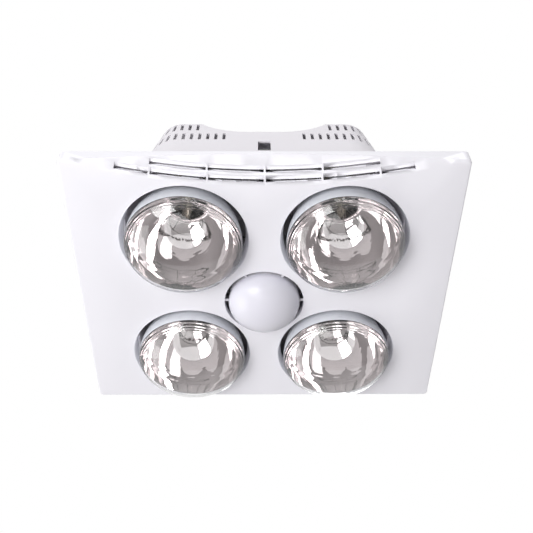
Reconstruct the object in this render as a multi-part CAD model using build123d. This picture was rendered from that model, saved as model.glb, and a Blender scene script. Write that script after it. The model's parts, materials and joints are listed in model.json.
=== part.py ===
from build123d import *
import math
import os

os.makedirs("parts", exist_ok=True)

# Frame: the origin lies on the ceiling plane, midway between the four heat lamps.
# +Z points up into the ceiling space and -Y points to the louvred edge of the fascia.

overrun = 1.0

# Fascia plate
plate_width = 410.0
plate_near = 184.5
plate_far = 160.0
plate_depth = 16.0
plate_wall = 2.5
plate_corner = 5.0
plate_edge = 1.8

# Crescent louvre along the near edge
crescent_sagitta = 30.8
crescent_rise = 11.0
lower_slot_inset = 3.5
lower_slot_half_length = 150.0
upper_slot_inset = 13.0
upper_slot_half_length = 115.0
slot_ramp_length = 7.0
slot_ramp_depth = 3.4
bridge_pitch = 58.0
bridge_width = 2.0

# Heat lamp grid and the openings in the fascia
lamp_x = 85.5
lamp_y = 85.0
opening_radius = 68.8
opening_inner_radius = 65.5
collar_height = 13.0
collar_wall = 1.6

# Heat lamp
bulb_radius = 62.5
bulb_seam_drop = 25.0
dome_depth = 26.0
bowl_share = 0.669
bowl_arc_share = 0.9
throat_radius = 20.0
neck_radius = 15.0
neck_length = 5.0
glass_wall = 1.2
cap_radius = 13.2
cap_skirt_wall = 0.9
cap_skirt_height = 4.5
cap_shell_height = 20.0
cap_insulator_height = 4.0
cap_insulator_radius = 8.0
contact_radius = 4.8
contact_height = 3.0
stem_radius = 5.0
stem_length = 44.0
lead_count = 5
lead_radius = 0.6
lead_length = 34.0
filament_ring_radius = 18.0
filament_wire_radius = 0.8

# Lampholders and the rails that carry them
holder_radius = 20.0
holder_foot_radius = 17.5
holder_bore = 14.4
holder_start_gap = 1.5
holder_floor_gap = 0.6
holder_roof = 6.0
holder_roof_gap = 5.9
shell_wall = 0.5
shell_clearance = 0.4
contact_tongue_width = 6.0
contact_tongue_thickness = 0.6
rail_width = 26.0
rail_thickness = 1.5
rail_overhang = 1.5
rail_seat_half = 48.0
rail_screw_inset = 7.0

# Light: ring gap in the fascia, carrier, diffuser and light engine
light_y = 3.6
ring_gap_radius = 44.6
ring_collar_wall = 1.5
ring_collar_height = 7.0
ring_bridge_count = 6
ring_bridge_width = 2.0
ring_bridge_height = 2.5
carrier_radius = 39.0
carrier_wall = 3.0
carrier_top_drop = 4.0
ledge_depth = 2.2
ledge_thickness = 1.2
ledge_drop = 8.4
ledge_span = 50.0
lug_count = 3
lug_span = 24.0
lug_thickness = 1.4
lug_lift = 0.2
diffuser_radius = 40.1
diffuser_depth = 28.0
diffuser_wall = 1.8
diffuser_rim_proud = 1.0
diffuser_rim_clearance = 0.5
diffuser_skirt_clearance = 0.6
tray_wall = 1.2
tray_height = 7.0
board_radius = 29.0
board_thickness = 1.2
emitter_size = 3.0
emitter_height = 0.8
emitter_inner_ring = 8.0
emitter_inner_count = 4
emitter_outer_ring = 20.0
emitter_outer_count = 10
tray_screw_count = 3
screw_radius = 1.4
screw_head_radius = 2.9
screw_head_height = 1.8
screw_length = 7.0
screw_clearance = 0.2

# Housing above the ceiling
body_half_width = 150.0
body_near = 169.0
body_far = 150.0
body_height = 137.0
body_corner = 57.0
body_taper_share = 0.2126
body_wall = 2.2
body_shoulder = 4.0
body_crease_height = 62.0
body_crease_step = 0.6
scallop_drop = 32.0
scallop_flat_half = 18.0
scallop_half_width = 73.5
scallop_reach = 48.0
flange_half_width = 190.0
flange_near = 178.0
flange_far = 154.5
flange_corner = 12.0
ceiling_screw_inset = 18.0
ceiling_screw_y = 125.0
ceiling_screw_hole = 2.75
window_width = 13.6
window_low = 42.0
window_high = 72.0
vent_width = 3.4
vent_height = 20.0
vent_pitch = 9.0
vent_first_x = 44.5
vent_lower_drop = 47.5
vent_lower_count = 15
vent_upper_drop = 16.4
vent_upper_first_x = 75.5
vent_upper_count = 10
boss_low = 12.0
boss_drop = 6.0
boss_side = 5.0
boss_rim = 4.5
boss_face = 152.0
boss_corner = 8.0
boss_depth = 52.0
motor_hole_radius = 40.0

# Fan scroll
fan_x = -24.0
fan_y = -8.0
scroll_low = 44.0
scroll_drop = 37.0
scroll_wall = 1.6
scroll_radius = 60.0
scroll_step = 4.0
throat_width = 76.0
throat_clearance = 0.3
inlet_radius = 34.0
inlet_lip = 5.0
cover_hole_radius = 9.0
ear_radius = 4.0
ear_post_height = 12.0
ear_throat_reach = 66.0

# Impeller
impeller_radius = 45.0
impeller_inner_radius = 35.5
impeller_plate = 1.5
impeller_ring = 1.6
impeller_blades = 24
blade_thickness = 1.0
blade_tip_lead = 11.0
blade_bow_share = 0.3
impeller_bottom_gap = 5.0
impeller_top_gap = 7.4
hub_radius = 9.0
hub_height = 16.0

# Motor
shaft_radius = 3.0
shaft_clearance = 0.05
shaft_tail = 3.0
motor_base_gap = 4.0
bracket_thickness = 1.6
bracket_width = 16.0
stack_half = 29.0
stack_height = 16.0
stack_gap = 7.0
stack_bore = 15.5
air_gap = 0.5
coil_outer = 25.0
coil_inner = 17.5
coil_span = 74.0
coil_height = 4.5
bearing_radius = 7.0
bearing_height = 5.0
stud_inset = 5.0
stud_radius = 1.9
nut_radius = 3.6
nut_height = 2.6
grommet_radius = 5.0
grommet_neck = 3.4
grommet_lip = 1.2

# Exhaust spigot and back-draught flaps
spigot_wall = 1.6
spigot_length = 46.0
spigot_flange = 2.0
spigot_flange_rim = 6.0
spigot_stop_width = 1.8
spigot_stop_thickness = 1.5
flap_set_back = 22.0
flap_thickness = 1.0
flap_clearance = 0.8
flap_pin_radius = 1.5
flap_pin_clearance = 0.06
knuckle_wall = 1.3
knuckle_count = 4
knuckle_gap = 0.4

# Terminal box, gland, driver and thermal cut-out
box_x = 62.0
box_y = -68.0
box_length = 66.0
box_width = 46.0
box_height = 26.0
box_wall = 1.8
box_corner = 3.0
lid_pillar_radius = 3.6
wire_hole_radius = 6.0
wire_hole_x = 42.0
lid_thickness = 2.0
gland_radius = 9.0
gland_nut_radius = 12.0
gland_bore = 4.0
gland_thread_length = 8.0
gland_nut_length = 9.0
block_poles = 4
block_pitch = 9.5
block_depth = 17.0
block_height = 11.0
pole_bore = 2.0
driver_length = 64.0
driver_width = 26.0
driver_height = 15.0
driver_x = 72.0
driver_y = 10.0
driver_foot = 7.0
driver_foot_thickness = 2.0
driver_corner = 2.0
cutout_radius = 8.0
cutout_height = 5.0
cutout_terminal = 6.0

# Latches that hold the fascia
latch_width = 11.5
latch_thickness = 1.8
latch_set_back = 6.6
latch_hook_rest = 1.5
latch_hook_inset = 0.8
latch_hook_height = 13.0
latch_foot = 7.0

# Levels and places worked out from the sizes above
front_z = -plate_depth
crescent_radius = ((plate_width / 2) ** 2 + crescent_sagitta ** 2) / (2 * crescent_sagitta)
crescent_y = crescent_sagitta - plate_near - crescent_radius
crescent_slope = crescent_rise / crescent_sagitta
sloped_wall = plate_wall * math.hypot(1, crescent_slope)
seam_z = -bulb_seam_drop
roof_inside = body_height - body_wall
holder_top = roof_inside - holder_roof_gap
holder_floor = holder_top - holder_roof
cap_top = holder_floor - contact_tongue_thickness - holder_floor_gap
cap_insulator_top = cap_top - contact_height
cap_shell_top = cap_insulator_top - cap_insulator_height
neck_top_z = cap_shell_top - cap_shell_height
neck_start_z = neck_top_z - neck_length
holder_bottom = neck_top_z + holder_start_gap
throat_z = seam_z + (neck_start_z - seam_z) * bowl_share
shoulder = 2 * math.atan2(bulb_radius - throat_radius, throat_z - seam_z)
both_arcs = (bulb_radius - throat_radius) / (1 - math.cos(shoulder))
bowl_arc = both_arcs * bowl_arc_share
neck_arc = both_arcs - bowl_arc
bowl_centre = bulb_radius - bowl_arc
scallop_height = body_height - scallop_drop
vent_lower_height = body_height - vent_lower_drop
vent_upper_height = body_height - vent_upper_drop
ceiling_screw_x = flange_half_width - ceiling_screw_inset
boss_high = body_height - boss_drop
spigot_flange_half = (boss_high - boss_low) / 2 - boss_rim
spigot_radius = spigot_flange_half - spigot_flange_rim
boss_half_width = spigot_flange_half + boss_side
scroll_high = body_height - scroll_drop
lamp_places = {
    "near_left": (-lamp_x, -lamp_y),
    "near_right": (lamp_x, -lamp_y),
    "far_left": (-lamp_x, lamp_y),
    "far_right": (lamp_x, lamp_y),
}
carrier_inner = carrier_radius - carrier_wall
diffuser_rim_z = front_z + diffuser_rim_proud
carrier_low = diffuser_rim_z + diffuser_wall + diffuser_rim_clearance
carrier_top = -carrier_top_drop
ledge_z = -ledge_drop
skirt_radius = carrier_inner - ledge_depth - diffuser_skirt_clearance
lug_z = ledge_z + ledge_thickness + lug_lift
scroll_centre_x = fan_x + scroll_step / 2
scroll_centre_y = fan_y + scroll_step / 2
throat_right = scroll_centre_x + scroll_radius
throat_left = throat_right - throat_width
boss_inside = boss_face - body_wall
spigot_height = (scroll_low + scroll_high) / 2
impeller_z = scroll_low + scroll_wall + impeller_bottom_gap
impeller_top = scroll_high - impeller_top_gap
cover_top = scroll_high + scroll_wall
lower_bracket_z = cover_top + motor_base_gap
stack_z = lower_bracket_z + bracket_thickness + stack_gap
stack_top = stack_z + stack_height
upper_bracket_z = stack_top + stack_gap
motor_top = upper_bracket_z + bracket_thickness
lower_bearing_z = lower_bracket_z + bracket_thickness
upper_bearing_z = upper_bracket_z - bearing_height
stud_offset = stack_half - stud_inset
flap_y = boss_face + spigot_flange + flap_set_back
spigot_inner = spigot_radius - spigot_wall
flap_radius = spigot_inner - flap_clearance
at_gland = Pos(box_x + box_length / 2, box_y, body_height + box_height / 2) * Rot(0, 90, 0)


# Shared shapes

def turned(points):
    """Solid of revolution about Z from a closed outline of (radius, height) points."""
    outline = make_face(Polyline(*points, close=True))
    return revolve(Plane.XZ * outline, Axis.Z)


def disc(radius, low, high):
    """Upright cylinder between two heights."""
    return Pos(0, 0, low) * extrude(Circle(radius), high - low)


def tube(outer, inner, low, high):
    """Upright tube between two heights."""
    return Pos(0, 0, low) * extrude(Circle(outer) - Circle(inner), high - low)


def block(low, high):
    """Box between two opposite corners."""
    size = [b - a for a, b in zip(low, high)]
    return Pos(*low) * Box(*size, align=(Align.MIN, Align.MIN, Align.MIN))


def rounded_slab(x_low, x_high, y_low, y_high, corner, low, high):
    """Plate with round corners between two heights."""
    face = RectangleRounded(x_high - x_low, y_high - y_low, corner)
    centre = Pos((x_low + x_high) / 2, (y_low + y_high) / 2, low)
    return centre * extrude(face, high - low)


def sector(outer, inner, span, low, high):
    """Arc-shaped block centred on +X, its span in degrees."""
    half = math.radians(span) / 2
    reach = outer / math.cos(half) + overrun
    wedge = make_face(Polyline(
        (0, 0),
        (reach * math.cos(half), -reach * math.sin(half)),
        (reach * math.cos(half), reach * math.sin(half)),
        close=True,
    ))
    flat = (Circle(outer) - Circle(inner)) & wedge
    return Pos(0, 0, low) * extrude(flat, high - low)


def around(shape, count, start=0.0):
    """Copies of a shape turned evenly about Z."""
    return [Rot(0, 0, start + index * 360 / count) * shape for index in range(count)]


def screw(length):
    """Pan head screw that points down, its head resting on z = 0."""
    head = turned((
        (0, 0),
        (screw_head_radius, 0),
        (screw_head_radius, screw_head_height / 2),
        (screw_head_radius / 2, screw_head_height),
        (0, screw_head_height),
    ))
    return head + disc(screw_radius, -length, 0)


# Fascia

def cone_above(offset, top):
    """Everything above the louvre's cone, raised by an offset, up to a level."""
    edge_z = front_z + offset
    reach = crescent_radius - 2 * crescent_sagitta
    reach_z = edge_z + 2 * crescent_sagitta * crescent_slope
    outer = crescent_radius + plate_near + plate_far
    profile = make_face(Polyline(
        (reach, reach_z),
        (crescent_radius, edge_z),
        (outer, edge_z),
        (outer, top),
        (reach, max(top, reach_z + overrun)),
        close=True,
    ))
    ring = revolve(Plane.YZ * profile, Axis.Z, -60)
    return Pos(0, crescent_y, 0) * Rot(0, 0, 30) * ring


def slot_cut(inset, start_x, end_x):
    """One louvre slot: a ramp that deepens until it opens through the wall."""
    radius = crescent_radius - inset
    foot = radius - slot_ramp_length
    rise = inset * crescent_slope
    foot_rise = (inset + slot_ramp_length) * crescent_slope
    profile = make_face(Polyline(
        (foot, front_z + foot_rise),
        (radius, front_z + rise + slot_ramp_depth),
        (radius, front_z - overrun),
        (foot, front_z - overrun),
        close=True,
    ))
    start = math.degrees(math.asin(start_x / radius))
    end = math.degrees(math.asin(end_x / radius))
    swept = revolve(Plane.YZ * profile, Axis.Z, start - end)
    return Pos(0, crescent_y, 0) * Rot(0, 0, -start) * swept


def slot_row(inset, half_length):
    """A row of slots on both sides of the middle bridge."""
    cuts = []
    start = bridge_width / 2
    while start < half_length:
        next_bridge = start - bridge_width / 2 + bridge_pitch
        end = min(next_bridge - bridge_width / 2, half_length)
        if next_bridge + bridge_width > half_length:
            end = half_length
        one = slot_cut(inset, start, end)
        cuts += [one, mirror(one, Plane.YZ)]
        start = next_bridge + bridge_width / 2
    return cuts


def make_fascia():
    """Moulded cover: louvre, four collared openings, ring gap and the light's carrier."""
    plate = rounded_slab(
        -plate_width / 2, plate_width / 2, -plate_near, plate_far, plate_corner, front_z, 0
    )
    plate = fillet(plate.faces().sort_by(Axis.Z)[0].outer_wire().edges(), plate_edge)
    plate &= cone_above(0, overrun)
    hollow = rounded_slab(
        plate_wall - plate_width / 2,
        plate_width / 2 - plate_wall,
        plate_wall - plate_near,
        plate_far - plate_wall,
        plate_corner - plate_wall,
        front_z + plate_wall,
        overrun,
    )
    hollow &= cone_above(sloped_wall, 2 * overrun)
    plate -= hollow
    plate -= slot_row(lower_slot_inset, lower_slot_half_length)
    plate -= slot_row(upper_slot_inset, upper_slot_half_length)
    opening = disc(opening_radius, front_z - overrun, 0)
    collar = turned((
        (opening_radius, front_z),
        (opening_radius + collar_wall, front_z),
        (opening_inner_radius + collar_wall, front_z + collar_height),
        (opening_inner_radius, front_z + collar_height),
    ))
    for x, y in lamp_places.values():
        plate -= Pos(x, y, 0) * opening
        plate += Pos(x, y, 0) * collar
    at_light = Pos(0, light_y, 0)
    plate -= at_light * disc(ring_gap_radius, front_z - overrun, 0)
    plate += at_light * tube(
        ring_gap_radius + ring_collar_wall, ring_gap_radius, front_z, front_z + ring_collar_height
    )
    carrier = tube(carrier_radius, carrier_inner, carrier_low, carrier_top)
    bridge = block(
        (carrier_radius - carrier_wall / 2, -ring_bridge_width / 2, carrier_low),
        (
            ring_gap_radius + ring_collar_wall / 2,
            ring_bridge_width / 2,
            carrier_low + ring_bridge_height,
        ),
    )
    ledge = sector(
        carrier_inner + carrier_wall / 2,
        carrier_inner - ledge_depth,
        ledge_span,
        ledge_z,
        ledge_z + ledge_thickness,
    )
    carrier += around(bridge, ring_bridge_count)
    carrier += around(ledge, lug_count, 90)
    pilot = Pos(carrier_radius - carrier_wall / 2, 0, 0) * disc(
        screw_radius, carrier_top - screw_length, carrier_top + overrun
    )
    carrier -= around(pilot, tray_screw_count, 30)
    return plate + at_light * carrier


# Light

def domed(radius, depth, rim_z, rim):
    """Solid of revolution: an elliptical dome below a rim and an outline above it."""
    curve = EllipticalCenterArc((0, rim_z), radius, depth, start_angle=270, arc_size=90)
    rest = Polyline((radius, rim_z), *rim, (0, rim_z - depth))
    return revolve(Plane.XZ * make_face([curve, rest]), Axis.Z)


def make_diffuser():
    """Opal dome with a skirt and three twist-lock lugs."""
    rim_z = diffuser_rim_z
    rim_top = rim_z + diffuser_wall
    skirt_top = lug_z + lug_thickness
    skirt_inner = skirt_radius - diffuser_wall
    solid = domed(diffuser_radius, diffuser_depth, rim_z, (
        (diffuser_radius, rim_top),
        (skirt_radius, rim_top),
        (skirt_radius, skirt_top),
        (0, skirt_top),
    ))
    hollow = domed(diffuser_radius - diffuser_wall, diffuser_depth - diffuser_wall, rim_z, (
        (skirt_inner, rim_z),
        (skirt_inner, skirt_top + overrun),
        (0, skirt_top + overrun),
    ))
    shell = solid - hollow
    lug = sector(
        carrier_inner - diffuser_skirt_clearance,
        skirt_radius - diffuser_wall / 2,
        lug_span,
        lug_z,
        skirt_top,
    )
    shell += around(lug, lug_count, 90)
    return Pos(0, light_y, 0) * shell


def make_light_tray():
    """Pressed aluminium dish that closes the carrier and cools the board."""
    dish = turned((
        (0, carrier_top),
        (carrier_radius, carrier_top),
        (carrier_radius, carrier_top + tray_height),
        (carrier_inner - tray_wall, carrier_top + tray_height),
        (carrier_inner - tray_wall, carrier_top + tray_height - tray_wall),
        (carrier_radius - tray_wall, carrier_top + tray_height - tray_wall),
        (carrier_radius - tray_wall, carrier_top + tray_wall),
        (0, carrier_top + tray_wall),
    ))
    hole = Pos(carrier_radius - carrier_wall / 2, 0, 0) * disc(
        screw_head_radius + screw_clearance, carrier_top - overrun, carrier_top + tray_height + overrun
    )
    dish -= around(hole, tray_screw_count, 30)
    foot = Pos(carrier_radius - carrier_wall / 2, 0, 0) * tube(
        screw_head_radius + screw_clearance + tray_wall / 2,
        screw_radius + screw_clearance,
        carrier_top,
        carrier_top + tray_wall,
    )
    dish += around(foot, tray_screw_count, 30)
    return Pos(0, light_y, 0) * dish


def make_light_board():
    """Round circuit board under the dish."""
    return Pos(0, light_y, 0) * disc(board_radius, carrier_top - board_thickness, carrier_top)


def make_emitters():
    """Light-emitting chips on two circles."""
    top = carrier_top - board_thickness
    chip = Box(emitter_size, emitter_size, emitter_height, align=(Align.CENTER, Align.CENTER, Align.MAX))
    chips = []
    chips += around(Pos(emitter_inner_ring, 0, top) * chip, emitter_inner_count)
    chips += around(Pos(emitter_outer_ring, 0, top) * chip, emitter_outer_count)
    return Pos(0, light_y, 0) * Compound(chips)


def make_tray_screws():
    """Screws that hold the dish on the carrier."""
    one = Pos(carrier_radius - carrier_wall / 2, 0, carrier_top + tray_wall) * screw(screw_length)
    return Pos(0, light_y, 0) * Compound(around(one, tray_screw_count, 30))


# Heat lamp, built on its own axis

def bowl_solid(inset):
    """Solid inside the bowl and its tapered neck, its outline set in by a wall."""
    radius = bowl_arc - inset
    throat = throat_radius - inset
    neck = neck_radius - inset
    join = (
        bowl_centre + radius * math.cos(shoulder),
        seam_z + radius * math.sin(shoulder),
    )
    half = shoulder / 2
    bend = neck_arc + inset
    bend_x = throat + bend
    bowl = ThreePointArc(
        (bowl_centre + radius, seam_z),
        (bowl_centre + radius * math.cos(half), seam_z + radius * math.sin(half)),
        join,
    )
    fillet_arc = ThreePointArc(
        join,
        (bend_x - bend * math.cos(half), throat_z - bend * math.sin(half)),
        (throat, throat_z),
    )
    rest = Polyline(
        (throat, throat_z),
        (neck, neck_start_z),
        (neck, neck_top_z),
        (0, neck_top_z),
        (0, seam_z),
        (bowl_centre + radius, seam_z),
    )
    return revolve(Plane.XZ * make_face([bowl, fillet_arc, rest]), Axis.Z)


def make_bowl():
    """Silvered glass bowl and neck."""
    return bowl_solid(0) - bowl_solid(glass_wall)


def make_front_glass():
    """Clear front of the lamp."""
    rim = [(0, seam_z)]
    inner = domed(bulb_radius - glass_wall, dome_depth - glass_wall, seam_z, rim)
    return domed(bulb_radius, dome_depth, seam_z, rim) - inner


def make_cap():
    """Screw cap with its skirt, insulator and end contact."""
    skirt_low = neck_top_z - cap_skirt_height
    skirt_out = neck_radius + cap_skirt_wall
    return turned((
        (neck_radius, skirt_low),
        (skirt_out, skirt_low),
        (skirt_out, neck_top_z),
        (cap_radius, neck_top_z + cap_skirt_wall),
        (cap_radius, cap_shell_top),
        (cap_insulator_radius, cap_insulator_top),
        (contact_radius, cap_insulator_top),
        (contact_radius, cap_top),
        (0, cap_top),
        (0, cap_shell_top),
        (cap_radius - cap_skirt_wall, cap_shell_top),
        (cap_radius - cap_skirt_wall, neck_top_z),
        (neck_radius, neck_top_z),
    ))


def make_filament():
    """Glass stem, lead and support wires and the ring filament."""
    stem_low = neck_top_z - stem_length
    stem = turned((
        (0, stem_low),
        (stem_radius, stem_low),
        (stem_radius, neck_top_z - stem_radius),
        (neck_radius - glass_wall, neck_top_z),
        (0, neck_top_z),
    ))
    ring_z = stem_low - lead_length
    ring = Pos(0, 0, ring_z) * Torus(filament_ring_radius, filament_wire_radius)
    lead = Rot(0, -math.degrees(math.atan2(filament_ring_radius - stem_radius / 2, lead_length)), 0)
    reach = math.hypot(filament_ring_radius - stem_radius / 2, lead_length)
    one = Pos(stem_radius / 2, 0, stem_low + overrun) * lead * disc(lead_radius, -reach - overrun, 0)
    return stem + ring + around(one, lead_count)


# Lampholder and rail

def make_holder():
    """Ceramic lampholder with a stepped body and a blind bore."""
    return turned((
        (holder_bore, holder_bottom),
        (holder_foot_radius, holder_bottom),
        (holder_foot_radius, holder_bottom + holder_roof),
        (holder_radius, holder_bottom + 2 * holder_roof),
        (holder_radius, holder_top),
        (0, holder_top),
        (0, holder_floor),
        (holder_bore, holder_floor),
    ))


def make_holder_shell():
    """Brass screw shell in the holder's bore."""
    outer = holder_bore
    inner = cap_radius + shell_clearance
    low = holder_bottom + shell_wall
    high = cap_shell_top
    return tube(outer, min(inner, outer - shell_wall), low, high)


def make_contact():
    """Sprung contact tongue on the holder's floor."""
    half = contact_tongue_width / 2
    return block(
        (-holder_bore + shell_wall, -half, holder_floor - contact_tongue_thickness),
        (contact_radius, half, holder_floor),
    )


def make_rail(side):
    """Pressed strip with a raised middle seated on the roof and low ends over the holders."""
    low = holder_top
    high = holder_top + rail_thickness
    rise = roof_inside - high
    end = lamp_y + holder_radius + rail_overhang
    half = [
        (rail_seat_half, roof_inside),
        (rail_seat_half + rise, high),
        (end, high),
        (end, low),
        (rail_seat_half + rise - rail_thickness / 2, low),
        (rail_seat_half - rail_thickness / 2, roof_inside - rail_thickness),
    ]
    outline = half + [(-y, z) for y, z in reversed(half)]
    strip = extrude(Plane.YZ * make_face(Polyline(*outline, close=True)), rail_width / 2, both=True)
    strip = Pos(side * lamp_x, 0, 0) * strip
    for x, y in rail_screw_places():
        strip -= Pos(x, y, 0) * disc(screw_radius, roof_inside - 2 * rail_thickness, body_height)
    return strip


def rail_screw_places():
    """Places where the rails are screwed to the roof."""
    offset = rail_seat_half - rail_screw_inset
    return [(x, y) for x in (-lamp_x, lamp_x) for y in (-offset, offset)]


# Housing

def body_section(height, shrink):
    """Round-cornered outline of the housing at a height, drawn in by a distance."""
    pull = height * body_taper_share + shrink
    width = 2 * (body_half_width - pull)
    length = body_near + body_far - 2 * pull
    middle = (body_far - body_near) / 2
    return Pos(0, middle, height) * RectangleRounded(width, length, body_corner - pull)


def body_form(inset, bottom):
    """Tapered housing form: two drafted stages, a shoulder and the outlet boss."""
    top = body_height - inset
    stage = body_crease_height
    lower = loft([body_section(bottom, inset), body_section(stage, inset)], ruled=True)
    upper = loft(
        [
            body_section(stage, inset + body_crease_step),
            body_section(top - body_shoulder, inset + body_crease_step),
            body_section(top, inset + body_crease_step + body_shoulder),
        ],
        ruled=True,
    )
    boss_shape = RectangleRounded(
        2 * (boss_half_width - inset), boss_high - boss_low - 2 * inset, boss_corner - inset
    )
    boss_centre = (boss_high + boss_low) / 2
    boss = Pos(0, boss_face - inset, boss_centre) * Rot(90, 0, 0) * extrude(
        boss_shape, boss_depth
    )
    return lower + upper + boss


def scallop(inset):
    """Cutter for the dip in the roof between the two near lamp towers."""
    floor = scallop_height - inset
    rise = body_height - scallop_height
    run = scallop_half_width - scallop_flat_half
    arc = (run ** 2 + rise ** 2) / (2 * rise)
    centre_z = floor + arc
    half = math.asin(run / arc) / 2
    middle = (
        scallop_flat_half + arc * math.sin(half),
        centre_z - arc * math.cos(half),
    )
    right = ThreePointArc((scallop_flat_half, floor), middle, (scallop_half_width, floor + rise))
    left = ThreePointArc(
        (-scallop_half_width, floor + rise), (-middle[0], middle[1]), (-scallop_flat_half, floor)
    )
    flat = Line((-scallop_flat_half, floor), (scallop_flat_half, floor))
    lid = Polyline(
        (scallop_half_width, floor + rise),
        (scallop_half_width, body_height + rise),
        (-scallop_half_width, body_height + rise),
        (-scallop_half_width, floor + rise),
    )
    shape = make_face([flat, right, lid, left])
    start = -body_near - overrun
    end = scallop_reach + inset - body_near
    return Pos(0, end, 0) * extrude(Plane.XZ * shape, end - start)


def vent_place(travel, height):
    """Point and outward angle on the housing wall, a distance along it from the middle."""
    pull = height * body_taper_share
    corner_x = body_half_width - body_corner
    corner_y = body_near - body_corner
    radius = body_corner - pull
    quarter = radius * math.pi / 2
    if travel <= corner_x:
        return travel, -(body_near - pull), -90
    if travel <= corner_x + quarter:
        angle = -90 + math.degrees((travel - corner_x) / radius)
        turn = math.radians(angle)
        return corner_x + radius * math.cos(turn), -corner_y + radius * math.sin(turn), angle
    return body_half_width - pull, -corner_y + travel - corner_x - quarter, 0


def vent_row(first, count, height):
    """A row of upright vent slots from the near face round one corner."""
    cutter = Box(4 * body_shoulder, vent_width, vent_height)
    cuts = []
    for index in range(count):
        x, y, angle = vent_place(first + index * vent_pitch, height)
        cuts.append(Pos(x, y, height) * Rot(0, 0, angle) * cutter)
    return cuts


def make_body():
    """Housing: one thin-walled moulding with a ceiling flange, vents and cut-outs."""
    bottom = -body_wall
    outer = body_form(0, bottom) - scallop(0)
    inner = body_form(body_wall, bottom - overrun) - scallop(body_wall)
    flange = rounded_slab(
        -flange_half_width, flange_half_width, -flange_near, flange_far, flange_corner, bottom, 0
    )
    shell = outer + flange - inner
    near_right = vent_row(vent_first_x, vent_lower_count, vent_lower_height)
    near_right += vent_row(vent_upper_first_x, vent_upper_count, vent_upper_height)
    near = near_right + [mirror(cut, Plane.YZ) for cut in near_right]
    shell -= near
    window_mid = (window_low + window_high) / 2
    window_half = (window_high - window_low) / 2
    pull = window_mid * body_taper_share
    window = Box(6 * body_wall, window_width, 2 * window_half)
    shell -= Pos(0, pull - body_near, window_mid) * Rot(0, 0, 90) * window
    for side in (-1, 1):
        shell -= Pos(side * (body_half_width - pull), 0, window_mid) * window
    half_high = (scroll_high - scroll_low) / 2
    outlet = block(
        (throat_left, boss_inside - overrun, spigot_height - half_high),
        (throat_right, boss_face + overrun, spigot_height + half_high),
    )
    shell -= outlet
    shell -= Pos(fan_x, fan_y, 0) * disc(motor_hole_radius, roof_inside - overrun, body_height + overrun)
    shell -= Pos(wire_hole_x, box_y, 0) * disc(
        wire_hole_radius, roof_inside - overrun, body_height + overrun
    )
    for x, y in roof_screw_places():
        shell -= Pos(x, y, 0) * disc(
            screw_radius + screw_clearance, roof_inside - overrun, body_height + overrun
        )
    for x, z in flange_screw_places():
        shell -= Pos(x, boss_inside - overrun, spigot_height + z) * Rot(-90, 0, 0) * disc(
            screw_radius, 0, body_wall + 2 * overrun
        )
    for x in (-ceiling_screw_x, ceiling_screw_x):
        for y in (-ceiling_screw_y, ceiling_screw_y):
            shell -= Pos(x, y, 0) * disc(ceiling_screw_hole, bottom - overrun, overrun)
    return shell


# Fan scroll

def scroll_outline(grow):
    """Three-arc volute with a straight throat, its wall moved out by a distance."""
    large = scroll_radius + grow
    middle = large - scroll_step
    small = middle - scroll_step
    centre_1 = (scroll_centre_x, scroll_centre_y)
    centre_2 = (scroll_centre_x, scroll_centre_y - scroll_step)
    centre_3 = (scroll_centre_x - scroll_step, scroll_centre_y - scroll_step)
    tongue_x = throat_left - grow
    tongue = math.acos((tongue_x - centre_3[0]) / small)
    end_y = boss_inside - throat_clearance

    def at(centre, radius, angle):
        return (centre[0] + radius * math.cos(angle), centre[1] + radius * math.sin(angle))

    start = at(centre_1, large, 0)
    first = at(centre_1, large, -math.pi / 2)
    second = at(centre_2, middle, -math.pi)
    third = at(centre_3, small, tongue)
    edges = [
        ThreePointArc(start, at(centre_1, large, -math.pi / 4), first),
        ThreePointArc(first, at(centre_2, middle, -3 * math.pi / 4), second),
        ThreePointArc(second, at(centre_3, small, (math.pi + tongue) / 2), third),
        Polyline(third, (tongue_x, end_y), (throat_right + grow, end_y), start),
    ]
    return make_face(edges)


def scroll_ears():
    """Places of the four ears where the cover and the spacers meet the scroll."""
    out = scroll_wall + ear_radius / 2
    throat_y = scroll_centre_y + ear_throat_reach
    return [
        (scroll_centre_x, scroll_centre_y - scroll_radius - out),
        (throat_right + out, scroll_centre_y),
        (throat_right + out, throat_y),
        (throat_left - out, throat_y),
    ]


def make_scroll():
    """Volute body: floor with a rolled inlet, wall and ear posts."""
    inside = scroll_outline(0)
    outside = scroll_outline(scroll_wall)
    low = scroll_low
    floor = Pos(0, 0, low) * extrude(outside, scroll_wall)
    wall = Pos(0, 0, low) * extrude(outside - inside, scroll_high - low)
    axis = Pos(fan_x, fan_y, 0)
    bell_out = inlet_radius + inlet_lip
    inner_bend = inlet_lip - scroll_wall
    slant = math.sqrt(0.5)
    bell = make_face([
        ThreePointArc(
            (bell_out, low),
            (bell_out - inlet_lip * slant, low + inlet_lip - inlet_lip * slant),
            (inlet_radius, low + inlet_lip),
        ),
        Line((inlet_radius, low + inlet_lip), (inlet_radius + scroll_wall, low + inlet_lip)),
        ThreePointArc(
            (inlet_radius + scroll_wall, low + inlet_lip),
            (bell_out - inner_bend * slant, low + inlet_lip - inner_bend * slant),
            (bell_out, low + scroll_wall),
        ),
        Line((bell_out, low + scroll_wall), (bell_out, low)),
    ])
    scroll = floor + wall - axis * disc(bell_out, low - overrun, low + scroll_wall + overrun)
    scroll += axis * revolve(Plane.XZ * bell, Axis.Z)
    keep = Pos(0, 0, low - overrun) * extrude(inside, scroll_high - low + 2 * overrun)
    for x, y in scroll_ears():
        post = disc(ear_radius, scroll_high - ear_post_height, scroll_high)
        post -= disc(screw_radius, scroll_high - screw_length, scroll_high + overrun)
        scroll += Pos(x, y, 0) * post - keep
    return scroll


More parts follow.
